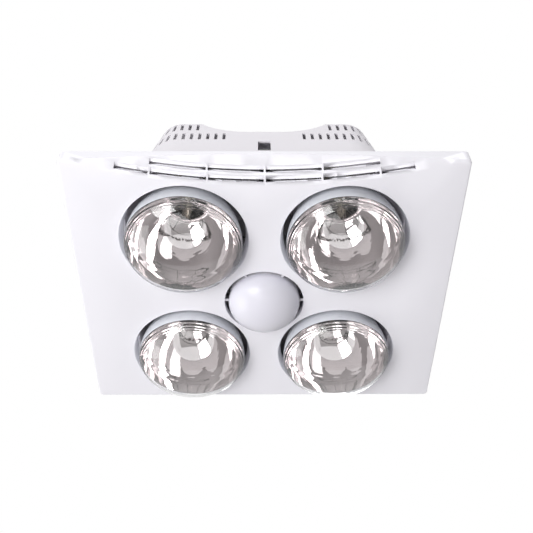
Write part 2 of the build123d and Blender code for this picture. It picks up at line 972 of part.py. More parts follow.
def make_scroll_cover():
    """Flat lid of the scroll with ears, grommet holes and a shaft hole."""
    cover = extrude(scroll_outline(scroll_wall), scroll_wall)
    for x, y in scroll_ears():
        cover += Pos(x, y, 0) * disc(ear_radius, 0, scroll_wall)
        cover -= Pos(x, y, 0) * disc(screw_radius + screw_clearance, -overrun, scroll_wall + overrun)
    cover -= Pos(fan_x, fan_y, 0) * disc(cover_hole_radius, -overrun, scroll_wall + overrun)
    for stud in stud_places():
        cover -= stud * disc(grommet_neck, -overrun, scroll_wall + overrun)
    return Pos(0, 0, scroll_high) * cover


def make_spacers():
    """Posts that hang the scroll from the roof, each with a stud into its ear."""
    posts = []
    for x, y in scroll_ears():
        post = disc(ear_radius, cover_top, roof_inside)
        post += disc(screw_radius, scroll_high - screw_length / 2, cover_top)
        post -= disc(screw_radius, roof_inside - screw_length, roof_inside + overrun)
        posts.append(Pos(x, y, 0) * post)
    return Compound(posts)


# Impeller

def make_impeller():
    """Forward-curved wheel: back plate with a hub, bottom ring and curved blades."""
    top = impeller_top - impeller_z
    plate = tube(impeller_radius, shaft_radius, top - impeller_plate, top)
    hub = tube(hub_radius, shaft_radius, top - hub_height, top)
    ring = tube(impeller_radius, impeller_inner_radius, 0, impeller_ring)
    tip = math.radians(blade_tip_lead)
    bow = tip * blade_bow_share
    middle = (impeller_inner_radius + impeller_radius) / 2
    turn = blade_thickness / middle

    def polar(radius, angle):
        return (radius * math.cos(angle), radius * math.sin(angle))

    outer = impeller_radius - blade_thickness / 2
    inner = impeller_inner_radius + blade_thickness / 2
    face = make_face([
        ThreePointArc(polar(inner, 0), polar(middle, bow), polar(outer, tip)),
        Line(polar(outer, tip), polar(outer, tip + turn)),
        ThreePointArc(polar(outer, tip + turn), polar(middle, bow + turn), polar(inner, turn)),
        Line(polar(inner, turn), polar(inner, 0)),
    ])
    blade = Pos(0, 0, impeller_ring / 2) * extrude(face, top - impeller_plate / 2 - impeller_ring / 2)
    wheel = plate + hub + ring
    wheel += around(blade, impeller_blades)
    return Pos(fan_x, fan_y, impeller_z) * wheel


# Motor

def stud_places():
    """Places of the four motor studs."""
    return [
        Pos(fan_x + x, fan_y + y, 0)
        for x in (-stud_offset, stud_offset)
        for y in (-stud_offset, stud_offset)
    ]


def make_bracket(low, cup_low):
    """Crossed straps between the studs with a cup for the bearing."""
    reach = stud_offset * math.sqrt(2) + bracket_width / 2
    strap = SlotOverall(2 * reach, bracket_width)
    cross = Rot(0, 0, 45) * strap + Rot(0, 0, -45) * strap
    bracket = Pos(0, 0, low) * extrude(cross, bracket_thickness)
    bracket += tube(bearing_radius + bracket_thickness, bearing_radius, cup_low, cup_low + bearing_height)
    bracket -= disc(
        bearing_radius - bracket_thickness, low - overrun, low + bracket_thickness + overrun
    )
    bracket = Pos(fan_x, fan_y, 0) * bracket
    for stud in stud_places():
        bracket -= stud * disc(stud_radius, low - overrun, low + bracket_thickness + overrun)
    return bracket


def make_stack():
    """Square laminated stator with a round bore and stud holes."""
    face = RectangleRounded(2 * stack_half, 2 * stack_half, stud_inset) - Circle(stack_bore)
    stack = Pos(fan_x, fan_y, stack_z) * extrude(face, stack_height)
    for stud in stud_places():
        stack -= stud * disc(stud_radius, stack_z - overrun, stack_top + overrun)
    return stack


def make_windings():
    """End turns of the four coils, above and below the stack."""
    coils = []
    for low in (stack_z - coil_height, stack_top):
        one = sector(coil_outer, coil_inner, coil_span, low, low + coil_height)
        coils += around(one, 4)
    return Pos(fan_x, fan_y, 0) * Compound(coils)


def make_rotor():
    """Rotor core on the shaft, inside the stator bore."""
    return Pos(fan_x, fan_y, 0) * tube(stack_bore - air_gap, shaft_radius, stack_z, stack_top)


def make_shaft():
    """Motor shaft from below the impeller hub to above the top bracket."""
    low = impeller_top - hub_height - shaft_tail
    return Pos(fan_x, fan_y, 0) * disc(shaft_radius, low, motor_top + shaft_tail)


def make_bearings():
    """Two sintered sleeve bearings in the bracket cups."""
    pair = [
        tube(bearing_radius, shaft_radius + shaft_clearance, low, low + bearing_height)
        for low in (lower_bearing_z, upper_bearing_z)
    ]
    return Pos(fan_x, fan_y, 0) * Compound(pair)


def make_studs():
    """Long studs through the grommets, the brackets and the stack."""
    low = scroll_high - grommet_lip - nut_height
    rods = [stud * disc(stud_radius, low, motor_top + nut_height) for stud in stud_places()]
    return Compound(rods)


def make_nuts():
    """Nuts below the grommets and on top of the upper bracket."""
    face = RegularPolygon(nut_radius, 6) - Circle(stud_radius)
    nuts = []
    for stud in stud_places():
        for low in (scroll_high - grommet_lip - nut_height, motor_top):
            nuts.append(stud * Pos(0, 0, low) * extrude(face, nut_height))
    return Compound(nuts)


def make_grommets():
    """Rubber spools between the scroll cover and the motor."""
    spool = turned((
        (stud_radius, scroll_high - grommet_lip),
        (grommet_radius, scroll_high - grommet_lip),
        (grommet_radius, scroll_high),
        (grommet_neck, scroll_high),
        (grommet_neck, cover_top),
        (grommet_radius, cover_top),
        (grommet_radius, lower_bracket_z),
        (stud_radius, lower_bracket_z),
    ))
    return Compound([stud * spool for stud in stud_places()])


# Exhaust spigot and flaps

at_spigot = Pos(0, boss_face, spigot_height) * Rot(-90, 0, 0)
flap_reach = flap_y - boss_face


def upright_rod(radius, half_length):
    """Cylinder along the flap pin's axis, in the spigot's own frame."""
    return Pos(0, 0, flap_reach) * Rot(90, 0, 0) * extrude(Circle(radius), half_length, both=True)


def make_spigot():
    """Flanged duct spigot with a stop rim and the holes of the flap pin."""
    corner = spigot_flange_half - spigot_radius
    face = RectangleRounded(2 * spigot_flange_half, 2 * spigot_flange_half, corner)
    face -= Rectangle(throat_width, scroll_high - scroll_low)
    plate = extrude(face, spigot_flange)
    sleeve = tube(spigot_radius, spigot_inner, 0, spigot_length)
    stop_top = flap_reach - flap_thickness / 2 - knuckle_gap
    rim = tube(
        spigot_inner + spigot_wall / 2,
        spigot_inner - spigot_stop_width,
        stop_top - spigot_stop_thickness,
        stop_top,
    )
    rim -= upright_rod(flap_pin_radius + knuckle_wall + knuckle_gap, spigot_radius - spigot_wall)
    spigot = plate + sleeve + rim
    spigot -= upright_rod(flap_pin_radius, spigot_radius + overrun)
    for x, y in flange_screw_places():
        spigot -= Pos(x, y, 0) * disc(screw_radius + screw_clearance, -overrun, spigot_flange + overrun)
    return at_spigot * spigot


def flange_screw_places():
    """Corners of the spigot flange where it is screwed to the housing."""
    offset = spigot_flange_half - screw_head_radius - screw_clearance
    return [(x, y) for x in (-offset, offset) for y in (-offset, offset)]


def make_flange_screws():
    """Screws of the spigot flange."""
    one = Pos(0, 0, spigot_flange) * screw(screw_length)
    return at_spigot * Compound([Pos(x, y, 0) * one for x, y in flange_screw_places()])


def make_flap(side):
    """Half of the butterfly flap with its knuckles on the pin."""
    knuckle_radius = flap_pin_radius + knuckle_wall
    edge = knuckle_radius + knuckle_gap
    half = Circle(flap_radius) & (
        Pos(edge + flap_radius, 0) * Rectangle(2 * flap_radius, 2 * flap_radius)
    )
    low = flap_reach - flap_thickness / 2
    plate = Pos(0, 0, low) * extrude(half, flap_thickness)
    run = 2 * (flap_radius - knuckle_radius - knuckle_wall) / knuckle_count
    length = run - knuckle_gap
    bore = flap_pin_radius + flap_pin_clearance
    barrel = Rot(90, 0, 0) * extrude(Circle(knuckle_radius) - Circle(bore), length / 2, both=True)
    web_low = (knuckle_radius - knuckle_wall / 2, -length / 2, -flap_thickness / 2)
    web_high = (edge + knuckle_gap, length / 2, flap_thickness / 2)
    knuckle = barrel + block(web_low, web_high)
    first = 0 if side > 0 else 1
    for index in range(first, knuckle_count, 2):
        place = (index - (knuckle_count - 1) / 2) * run
        plate += Pos(0, place, flap_reach) * knuckle
    if side < 0:
        plate = mirror(plate, Plane.YZ)
    return at_spigot * plate


def make_flap_pin():
    """Upright pin that carries both flaps."""
    return at_spigot * upright_rod(flap_pin_radius, spigot_radius)


# Terminal box, gland, driver and thermal cut-out

def make_terminal_box():
    """Open box on the roof with a cable hole in its floor and one in its side."""
    x_low = box_x - box_length / 2
    x_high = box_x + box_length / 2
    y_low = box_y - box_width / 2
    y_high = box_y + box_width / 2
    top = body_height + box_height
    box = rounded_slab(x_low, x_high, y_low, y_high, box_corner, body_height, top)
    box -= rounded_slab(
        x_low + box_wall,
        x_high - box_wall,
        y_low + box_wall,
        y_high - box_wall,
        box_corner - box_wall,
        body_height + box_wall,
        top + overrun,
    )
    box -= Pos(wire_hole_x, box_y, 0) * disc(
        wire_hole_radius, body_height - overrun, body_height + box_wall + overrun
    )
    for x, y in lid_screw_places():
        pillar = Pos(x, y, 0) * disc(lid_pillar_radius, body_height, top)
        box += pillar
        box -= Pos(x, y, 0) * disc(screw_radius, top - screw_length, top + overrun)
    return box - at_gland * disc(gland_radius, -2 * box_wall, overrun)


def lid_screw_places():
    """Opposite corners of the terminal box where the lid is screwed down."""
    dx = box_length / 2 - box_wall - lid_pillar_radius / 2
    dy = box_width / 2 - box_wall - lid_pillar_radius / 2
    return [(box_x - dx, box_y - dy), (box_x + dx, box_y + dy)]


def make_lid():
    """Lid of the terminal box with a shallow rib round its edge."""
    low = body_height + box_height
    lid = rounded_slab(
        box_x - box_length / 2,
        box_x + box_length / 2,
        box_y - box_width / 2,
        box_y + box_width / 2,
        box_corner,
        low,
        low + lid_thickness,
    )
    lid = chamfer(lid.faces().sort_by(Axis.Z)[-1].edges(), lid_thickness / 3)
    hole = disc(screw_radius + screw_clearance, low - overrun, low + lid_thickness + overrun)
    for x, y in lid_screw_places():
        lid -= Pos(x, y, 0) * hole
    return lid


def make_lid_screws():
    """Screws of the terminal box lid."""
    one = Pos(0, 0, body_height + box_height + lid_thickness) * screw(screw_length)
    return Compound([Pos(x, y, 0) * one for x, y in lid_screw_places()])


def make_gland():
    """Cable gland: threaded tail through the wall, hexagon and domed nut."""
    tail = tube(gland_radius, gland_bore, -box_wall - gland_thread_length / 2, 0)
    flats = extrude(RegularPolygon(gland_nut_radius, 6) - Circle(gland_bore), gland_thread_length / 2)
    low = gland_thread_length / 2
    high = low + gland_nut_length
    shoulder_radius = (gland_nut_radius * math.sqrt(3) / 2 + gland_bore) / 2
    nut = turned((
        (gland_bore, low),
        (gland_nut_radius * math.sqrt(3) / 2, low),
        (gland_nut_radius * math.sqrt(3) / 2, (low + high) / 2),
        (shoulder_radius, high),
        (gland_bore, high),
    ))
    return at_gland * (tail + flats + nut)


def make_terminal_block():
    """Strip of raised screw terminals with a tunnel through each pole."""
    length = block_poles * block_pitch
    low = body_height + box_wall
    base = block(
        (box_x - length / 2, box_y - block_depth / 2, low),
        (box_x + length / 2, box_y + block_depth / 2, low + block_height / 2),
    )
    for index in range(block_poles):
        x = box_x + (index - (block_poles - 1) / 2) * block_pitch
        half = block_pitch / 2 - box_wall / 2
        tower = block(
            (x - half, box_y - block_depth / 3, low),
            (x + half, box_y + block_depth / 3, low + block_height),
        )
        tower -= Pos(x, box_y, 0) * disc(pole_bore, low + block_height / 2, low + block_height + overrun)
        tunnel = Pos(x, box_y, low + block_height / 3) * Rot(90, 0, 0) * extrude(
            Circle(pole_bore), block_depth, both=True
        )
        base = base + tower - tunnel
    return base


def make_driver():
    """Moulded case of the light's power supply with two mounting feet."""
    case = RectangleRounded(driver_length - 2 * driver_foot, driver_width, driver_corner)
    body = extrude(case, driver_height)
    body = chamfer(body.faces().sort_by(Axis.Z)[-1].edges(), driver_corner / 2)
    feet = extrude(RectangleRounded(driver_length, driver_width / 2, driver_corner), driver_foot_thickness)
    for side in (-1, 1):
        feet -= Pos(side * (driver_length - driver_foot) / 2, 0, 0) * disc(
            screw_radius + screw_clearance, -overrun, driver_foot_thickness + overrun
        )
    return Pos(driver_x, driver_y, body_height) * (body + feet)


def make_thermal_cutout():
    """Round thermal cut-out with two blade terminals under the left rail."""
    high = roof_inside - rail_thickness
    low = high - cutout_height
    can = turned((
        (0, high),
        (cutout_radius, high),
        (cutout_radius, high - cutout_height / 2),
        (cutout_radius - cutout_height / 4, low),
        (0, low),
    ))
    half = cutout_terminal / 2
    for side in (-1, 1):
        x = side * cutout_radius / 2
        can += block(
            (x - contact_tongue_thickness / 2, -half, low - cutout_terminal),
            (x + contact_tongue_thickness / 2, half, low),
        )
    return Pos(-lamp_x, 0, 0) * can


# Latches and roof screws

def make_latch(wall_base, turn):
    """Sprung arm from the fascia to a window in the housing wall."""
    floor = front_z + sloped_wall
    face = wall_base - window_low * body_taper_share
    arm = face - body_wall - latch_set_back
    tip_z = window_low + latch_hook_rest + latch_hook_height
    hook_z = window_low + latch_hook_rest
    points = (
        (arm - latch_foot, floor),
        (arm + latch_thickness, floor),
        (arm + latch_thickness, hook_z),
        (face - latch_hook_inset, hook_z),
        (face - latch_hook_inset, hook_z + latch_thickness),
        (arm + latch_thickness, tip_z),
        (arm, tip_z),
        (arm, floor + latch_thickness),
        (arm - latch_foot, floor + latch_thickness),
    )
    strip = extrude(Plane.XZ * make_face(Polyline(*points, close=True)), latch_width / 2, both=True)
    return Rot(0, 0, turn) * strip


def make_latches():
    """Latches at the near wall and at both side walls."""
    return Compound([
        make_latch(body_near, -90),
        make_latch(body_half_width, 0),
        make_latch(body_half_width, 180),
    ])


def roof_screw_places():
    """Places on the roof over the spacers and the rails."""
    return scroll_ears() + rail_screw_places()


def make_roof_screws():
    """Screws through the roof into the spacers and the rails."""
    one = Pos(0, 0, body_height) * screw(screw_length)
    return Compound([Pos(x, y, 0) * one for x, y in roof_screw_places()])


# Write each piece

pieces = {}
pieces["fascia"] = make_fascia()
pieces["light_diffuser"] = make_diffuser()
pieces["light_tray"] = make_light_tray()
pieces["light_board"] = make_light_board()
pieces["light_emitters"] = make_emitters()
pieces["light_tray_screws"] = make_tray_screws()
bowl = make_bowl()
front_glass = make_front_glass()
cap = make_cap()
filament = make_filament()
holder = make_holder()
holder_shell = make_holder_shell()
contact = make_contact()
for place, (x, y) in lamp_places.items():
    at = Pos(x, y, 0)
    pieces["lamp_" + place + "_bowl"] = at * bowl
    pieces["lamp_" + place + "_glass"] = at * front_glass
    pieces["lamp_" + place + "_cap"] = at * cap
    pieces["lamp_" + place + "_filament"] = at * filament
    pieces["lampholder_" + place] = at * holder
shells = [Pos(x, y, 0) * holder_shell for x, y in lamp_places.values()]
contacts = [Pos(x, y, 0) * contact for x, y in lamp_places.values()]
pieces["lampholder_shells"] = Compound(shells)
pieces["lampholder_contacts"] = Compound(contacts)
pieces["lampholder_rail_left"] = make_rail(-1)
pieces["lampholder_rail_right"] = make_rail(1)
pieces["housing"] = make_body()
pieces["fan_scroll"] = make_scroll()
pieces["fan_scroll_cover"] = make_scroll_cover()
pieces["fan_spacers"] = make_spacers()
pieces["fan_impeller"] = make_impeller()
pieces["motor_lower_bracket"] = make_bracket(lower_bracket_z, lower_bearing_z)
pieces["motor_upper_bracket"] = make_bracket(upper_bracket_z, upper_bearing_z)
pieces["motor_stack"] = make_stack()
pieces["motor_windings"] = make_windings()
pieces["motor_rotor"] = make_rotor()
pieces["motor_shaft"] = make_shaft()
pieces["motor_bearings"] = make_bearings()
pieces["motor_studs"] = make_studs()
pieces["motor_nuts"] = make_nuts()
pieces["motor_grommets"] = make_grommets()
pieces["duct_spigot"] = make_spigot()
pieces["duct_spigot_screws"] = make_flange_screws()
pieces["duct_flap_left"] = make_flap(-1)
pieces["duct_flap_right"] = make_flap(1)
pieces["duct_flap_pin"] = make_flap_pin()
pieces["terminal_box"] = make_terminal_box()
pieces["terminal_box_lid"] = make_lid()
pieces["terminal_box_screws"] = make_lid_screws()
pieces["terminal_block"] = make_terminal_block()
pieces["cable_gland"] = make_gland()
pieces["light_driver"] = make_driver()
pieces["thermal_cutout"] = make_thermal_cutout()
pieces["fascia_latches"] = make_latches()
pieces["roof_screws"] = make_roof_screws()

for name, shape in pieces.items():
    export_step(shape, "parts/" + name + ".step")
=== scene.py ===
import json
import math

import bpy
from bpy.props import FloatProperty, FloatVectorProperty, IntProperty, PointerProperty
from mathutils import Matrix, Vector

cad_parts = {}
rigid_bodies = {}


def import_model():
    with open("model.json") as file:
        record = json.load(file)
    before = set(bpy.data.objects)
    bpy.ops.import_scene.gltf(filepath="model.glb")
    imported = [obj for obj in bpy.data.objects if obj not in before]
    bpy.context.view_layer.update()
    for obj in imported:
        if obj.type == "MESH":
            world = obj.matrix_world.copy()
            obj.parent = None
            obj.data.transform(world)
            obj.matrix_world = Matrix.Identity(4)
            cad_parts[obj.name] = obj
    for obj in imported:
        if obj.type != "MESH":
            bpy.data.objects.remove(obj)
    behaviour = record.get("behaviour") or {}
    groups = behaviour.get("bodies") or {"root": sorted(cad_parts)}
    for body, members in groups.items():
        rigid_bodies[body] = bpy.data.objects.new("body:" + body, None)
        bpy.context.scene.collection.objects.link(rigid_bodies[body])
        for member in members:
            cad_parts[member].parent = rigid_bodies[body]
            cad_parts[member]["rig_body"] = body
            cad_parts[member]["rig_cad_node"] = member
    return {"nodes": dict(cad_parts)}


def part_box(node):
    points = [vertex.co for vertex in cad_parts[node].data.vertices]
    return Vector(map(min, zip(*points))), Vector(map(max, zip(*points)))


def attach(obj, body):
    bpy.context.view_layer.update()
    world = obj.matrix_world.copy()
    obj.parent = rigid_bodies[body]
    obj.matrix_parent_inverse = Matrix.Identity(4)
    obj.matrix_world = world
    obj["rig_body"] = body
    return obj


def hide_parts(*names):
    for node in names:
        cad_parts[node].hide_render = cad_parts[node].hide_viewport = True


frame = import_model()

bl_info = {
    "name": "Bathroom ceiling heater",
    "version": (1, 0, 0),
    "blender": (4, 5, 0),
    "location": "View3D > Sidebar > Heater",
    "description": "Builds the looks of a bathroom ceiling heater over its CAD frame",
    "category": "Object",
}

MM = 0.001
MERGE = 0.01 * MM
GRAIN_DEPTH = 0.2 * MM
RING_DEPTH = 0.4 * MM
GLASS_WAVE_DEPTH = 1 * MM
PLACES = ("near_left", "near_right", "far_left", "far_right")
NODES = frame["nodes"]


# User settings

def colour(label, words, value):
    """A colour property."""
    return FloatVectorProperty(
        name=label, description=words, default=value, size=3, min=0, max=1, subtype="COLOR"
    )


def length(label, words, value):
    """A length property in metres."""
    return FloatProperty(name=label, description=words, default=value, min=0, unit="LENGTH")


def power(label, words, value):
    """A lamp power in watts."""
    return FloatProperty(name=label, description=words, default=value, min=0, unit="POWER")


def angle(label, words, value):
    """An angle property, given in degrees."""
    return FloatProperty(
        name=label, description=words, default=math.radians(value), subtype="ANGLE"
    )


class HeaterColours(bpy.types.PropertyGroup):
    """Colours of the plastics, glass and metals."""

    fascia: colour("Fascia", "Semi-gloss white of the cover", (0.865, 0.855, 0.905))
    housing: colour("Housing", "Fine matt white of the housing", (0.865, 0.84, 0.885))
    opal: colour("Opal", "Light diffuser", (0.77, 0.76, 0.84))
    silver: colour("Silver", "Mirror coating of the lamp bowls", (0.81, 0.77, 0.775))
    band: colour("Band", "Satin outside of the lamp bowls", (0.87, 0.89, 0.93))
    zinc: colour("Zinc", "Plated sheet and screws", (0.62, 0.635, 0.65))
    copper: colour("Copper", "Enamelled wire", (0.62, 0.26, 0.12))
    brass: colour("Brass", "Holder shells and terminal screws", (0.72, 0.58, 0.30))
    cap: colour("Cap", "Pale rolled brass of the lamp caps", (0.66, 0.61, 0.49))
    ceramic: colour("Ceramic", "Lampholders", (0.82, 0.80, 0.74))
    fan: colour("Fan", "Grey moulded scroll and spigot", (0.34, 0.345, 0.355))
    # Also used on the latches, where the dark colour is painted shade in their windows
    dark: colour("Dark", "Rubber and phenolic", (0.025, 0.025, 0.027))
    tungsten: colour("Tungsten", "Filament and its wires", (0.20, 0.19, 0.18))
    aluminium: colour("Aluminium", "Tray of the light", (0.72, 0.73, 0.74))
    board: colour("Board", "White circuit board", (0.82, 0.82, 0.80))
    phosphor: colour("Phosphor", "Light emitters", (0.86, 0.70, 0.20))
    impeller: colour("Impeller", "Moulded impeller", (0.55, 0.55, 0.55))
    flap: colour("Flap", "Flaps of the duct", (0.60, 0.60, 0.59))
    lamination: colour("Lamination", "Stator stack", (0.17, 0.17, 0.18))
    rotor: colour("Rotor", "Motor rotor", (0.42, 0.42, 0.43))
    steel: colour("Steel", "Ground shafts and studs", (0.68, 0.69, 0.70))
    bronze: colour("Bronze", "Motor bearings", (0.36, 0.25, 0.13))
    box: colour("Box", "Terminal box", (0.80, 0.80, 0.79))
    block: colour("Block", "Terminal block", (0.80, 0.78, 0.68))
    gland: colour("Gland", "Cable gland", (0.23, 0.235, 0.24))
    driver: colour("Driver", "Case of the light's driver", (0.74, 0.75, 0.76))
    floor: colour("Floor", "Pale floor of the stage", (0.88, 0.855, 0.855))


class HeaterSizes(bpy.types.PropertyGroup):
    """Sizes of the pieces that are modelled here."""

    edge: length("Edge", "Softened edge of the moulded pieces", 0.45 * MM)
    thread_pitch: length("Thread pitch", "Pitch of the lamp cap's thread", 3.6 * MM)
    thread_depth: length("Thread depth", "Depth of the lamp cap's thread", 0.9 * MM)
    coil_radius: length("Coil radius", "Radius of one turn of the filament", 0.6 * MM)
    coil_turns: IntProperty(
        name="Coil turns", description="Turns in the filament ring", default=110
    )
    wire: length("Wire", "Radius of the lamp's lead and support wires", 0.35 * MM)
    wire_count: IntProperty(name="Wires", description="Lead and support wires of a lamp", default=5)
    stem_length: length("Stem", "Length of a lamp's glass stem", 44 * MM)
    recess: length("Recess", "Width of a screw's cross recess", 0.8 * MM)
    ring_pitch: length("Ring pitch", "Pitch of the faint rings at a lamp's rim", 1.9 * MM)


class HeaterStage(bpy.types.PropertyGroup):
    """Floor, lights and camera."""

    floor_drop: length("Floor drop", "Distance from the ceiling plane down to the floor", 1.75)
    floor_size: length("Floor size", "Width of the square floor", 3.2)
    floor_glow: FloatProperty(
        name="Floor glow",
        description="Extra paleness of the floor as the camera sees it",
        default=0.55,
        min=0,
    )
    key: power("Key", "Light on the near left", 14.9)
    side: power("Side", "Light on the far left", 6.7)
    front: power("Front", "Light in front", 1.8)
    floor_power: power("Floor light", "Light on the floor at the right", 6.0)
    back: power("Back", "Light behind and above the unit", 15.0)
    rim: power("Rim", "Light on the housing's near wall", 13.9)
    world: FloatProperty(
        name="World", description="Strength of the surrounding light", default=0.24, min=0
    )
    lens: FloatProperty(
        name="Lens", description="Focal length in millimetres", default=54.03, min=1
    )
    pitch: angle("Pitch", "Camera tilt above the horizon", 50.552)
    yaw: angle("Yaw", "Camera turn to the right", 0.850)
    roll: angle("Roll", "Camera roll", -0.713)


# Mesh helpers

def clear_selection():
    """Nothing selected and no edit mode."""
    if bpy.context.object and bpy.context.object.mode != "OBJECT":
        bpy.ops.object.mode_set(mode="OBJECT")
    bpy.ops.object.select_all(action="DESELECT")


def pick(obj):
    """Makes one object the only selected one."""
    clear_selection()
    obj.select_set(True)
    bpy.context.view_layer.objects.active = obj


def start(operator, **values):
    """Adds a primitive on its own and returns it in object mode."""
    clear_selection()
    operator(**values)
    return bpy.context.object


def edit(obj):
    """Opens an object for editing with nothing selected."""
    pick(obj)
    bpy.ops.object.mode_set(mode="EDIT")
    bpy.ops.mesh.select_all(action="DESELECT")


def choose(obj, kind, test):
    """Selects the faces, edges or vertices that pass a test, in edit mode."""
    bpy.ops.mesh.select_mode(type={"polygons": "FACE", "edges": "EDGE", "vertices": "VERT"}[kind])
    bpy.ops.mesh.select_all(action="DESELECT")
    bpy.ops.object.mode_set(mode="OBJECT")
    for item in getattr(obj.data, kind):
        item.select = bool(test(item))
    bpy.ops.object.mode_set(mode="EDIT")


def faces_up(face):
    """True for a face that looks up."""
    return face.normal.z > 0.9


def faces_down(face):
    """True for a face that looks down."""
    return face.normal.z < -0.9


def push(distance, width=None, depth=None):
    """Extrudes the selected face along Z, then scales it in X and Y."""
    bpy.ops.mesh.extrude_region_move(TRANSFORM_OT_translate={"value": (0, 0, distance)})
    if width is not None:
        bpy.ops.transform.resize(value=(width, width if depth is None else depth, 1))


def close():
    """Leaves edit mode with the normals turned outwards."""
    bpy.ops.mesh.select_all(action="SELECT")
    bpy.ops.mesh.normals_make_consistent(inside=False)
    bpy.ops.object.mode_set(mode="OBJECT")


def apply(obj, kind, **values):
    """Adds a modifier with its values and applies it."""
    pick(obj)
    modifier = obj.modifiers.new(kind.title(), kind)
    for key, value in values.items():
        setattr(modifier, key, value)
    bpy.ops.object.modifier_apply(modifier=modifier.name)


def seat(obj):
    """Moves an object's place, turn and scale into its mesh."""
    pick(obj)
    bpy.ops.object.transform_apply(location=True, rotation=True, scale=True)


def joined(objs):
    """Joins several objects into the first."""
    clear_selection()
    for obj in objs:
        obj.select_set(True)
    bpy.context.view_layer.objects.active = objs[0]
    bpy.ops.object.join()
    return objs[0]


def duplicate(obj):
    """Copy of an object with its own mesh."""
    other = obj.copy()
    other.data = obj.data.copy()
    bpy.context.scene.collection.objects.link(other)
    return other


def merged_copy(node):
    """Free copy of a CAD node with its vertices merged, left open for editing."""
    other = duplicate(NODES[node])
    other.parent = None
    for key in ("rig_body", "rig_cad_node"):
        del other[key]
    edit(other)
    bpy.ops.mesh.select_all(action="SELECT")
    bpy.ops.mesh.remove_doubles(threshold=MERGE)
    return other


def coat(obj, surface, sharp):
    """Gives an object one material and smooth shading below an angle in degrees."""
    obj.data.materials.clear()
    obj.data.materials.append(surface)
    pick(obj)
    bpy.ops.object.shade_smooth_by_angle(angle=math.radians(sharp))


def finish_piece(obj, name, node, surface, replaced=(), sharp=35):
    """Names a new piece, gives it its material and lets it ride on a CAD node's body."""
    obj.name = name
    obj.data.name = name
    coat(obj, surface, sharp)
    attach(obj, NODES[node]["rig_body"])
    if replaced:
        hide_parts(*replaced)


def middle(node):
    """Centre of a CAD node's box."""
    low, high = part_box(node)
    return (low + high) / 2


def dress(surface, *nodes, sharp=30):
    """Gives CAD nodes a material and smooth shading."""
    for node in nodes:
        coat(NODES[node], surface, sharp)


# Node helpers

def effect(name, inputs, outputs):
    """New shader node group on a vector, with its other inputs' values and its outputs."""
    tree = bpy.data.node_groups.new(name, "ShaderNodeTree")
    for label, value in {"Vector": (0, 0, 0), **inputs}.items():
        size = len(value) if isinstance(value, tuple) else 1
        kind = {1: "NodeSocketFloat", 3: "NodeSocketVector", 4: "NodeSocketColor"}[size]
        socket = tree.interface.new_socket(label, in_out="INPUT", socket_type=kind)
        socket.default_value = value
    for label in outputs:
        kind = "NodeSocketColor" if label == "Color" else "NodeSocketFloat"
        tree.interface.new_socket(label, in_out="OUTPUT", socket_type=kind)
    return tree, tree.nodes.new("NodeGroupInput"), tree.nodes.new("NodeGroupOutput")


def feed(tree, value, socket):
    """Feeds an input with a socket or sets it to a number."""
    if isinstance(value, (int, float)):
        socket.default_value = value
    else:
        tree.links.new(value, socket)


def math_node(tree, operation, first, second=0.0):
    """Math node fed by sockets or numbers."""
    node = tree.nodes.new("ShaderNodeMath")
    node.operation = operation
    for index, value in enumerate((first, second)):
        feed(tree, value, node.inputs[index])
    return node.outputs[0]


def ranged(tree, value, low, high):
    """Map Range node that turns 0 to 1 into another range, given as sockets or numbers."""
    node = tree.nodes.new("ShaderNodeMapRange")
    tree.links.new(value, node.inputs["Value"])
    feed(tree, low, node.inputs["To Min"])
    feed(tree, high, node.inputs["To Max"])
    return node.outputs["Result"]


def shade(tree, source, result, depth, pattern):
    """Darkens a group's colour where its pattern is low, by its depth input at most."""
    low = math_node(tree, "SUBTRACT", 1.0, source.outputs[depth])
    node = tree.nodes.new("ShaderNodeMix")
    node.data_type = "RGBA"
    node.blend_type = "MULTIPLY"
    node.inputs["Factor"].default_value = 1
    tree.links.new(source.outputs["Color"], node.inputs["A"])
    tree.links.new(ranged(tree, pattern, low, 1.0), node.inputs["B"])
    tree.links.new(node.outputs["Result"], result.inputs["Color"])


def uneven_gloss(tree, source, result, pattern, share):
    """Lets a group's roughness vary with its pattern by a share each way."""
    low = math_node(tree, "MULTIPLY", source.outputs["Roughness"], 1 - share)
    high = math_node(tree, "MULTIPLY", source.outputs["Roughness"], 1 + share)
    tree.links.new(ranged(tree, pattern, low, high), result.inputs["Roughness"])


def noise(tree, vector, scale, detail):
    """Noise texture with a scale given as a socket or a number."""
    node = tree.nodes.new("ShaderNodeTexNoise")
    node.inputs["Detail"].default_value = detail
    tree.links.new(vector, node.inputs["Vector"])
    feed(tree, scale, node.inputs["Scale"])
    return node.outputs["Fac"]


def axis_distance(tree, vector):
    """Distance from the Z axis."""
    flat = tree.nodes.new("ShaderNodeVectorMath")
    flat.operation = "MULTIPLY"
    flat.inputs[1].default_value = (1, 1, 0)
    tree.links.new(vector, flat.inputs[0])
    radial = tree.nodes.new("ShaderNodeVectorMath")
    radial.operation = "LENGTH"
    tree.links.new(flat.outputs[0], radial.inputs[0])
    return radial.outputs["Value"]


def ripple(tree, distance, pitch):
    """Sine wave along a distance."""
    turns = math_node(tree, "DIVIDE", distance, pitch)
    return math_node(tree, "SINE", math_node(tree, "MULTIPLY", turns, 2 * math.pi))


def object_place(tree, centre=None):
    """Object coordinates, measured from a centre if there is one."""
    vector = tree.nodes.new("ShaderNodeTexCoord").outputs["Object"]
    if centre is None:
        return vector
    mapping = tree.nodes.new("ShaderNodeMapping")
    mapping.inputs["Location"].default_value = [-value for value in centre]
    tree.links.new(vector, mapping.inputs["Vector"])
    return mapping.outputs[0]


def relief(tree, height, strength, depth):
    """Bump node over a height."""
    node = tree.nodes.new("ShaderNodeBump")
    node.inputs["Strength"].default_value = strength
    node.inputs["Distance"].default_value = depth
    tree.links.new(height, node.inputs["Height"])
    return node


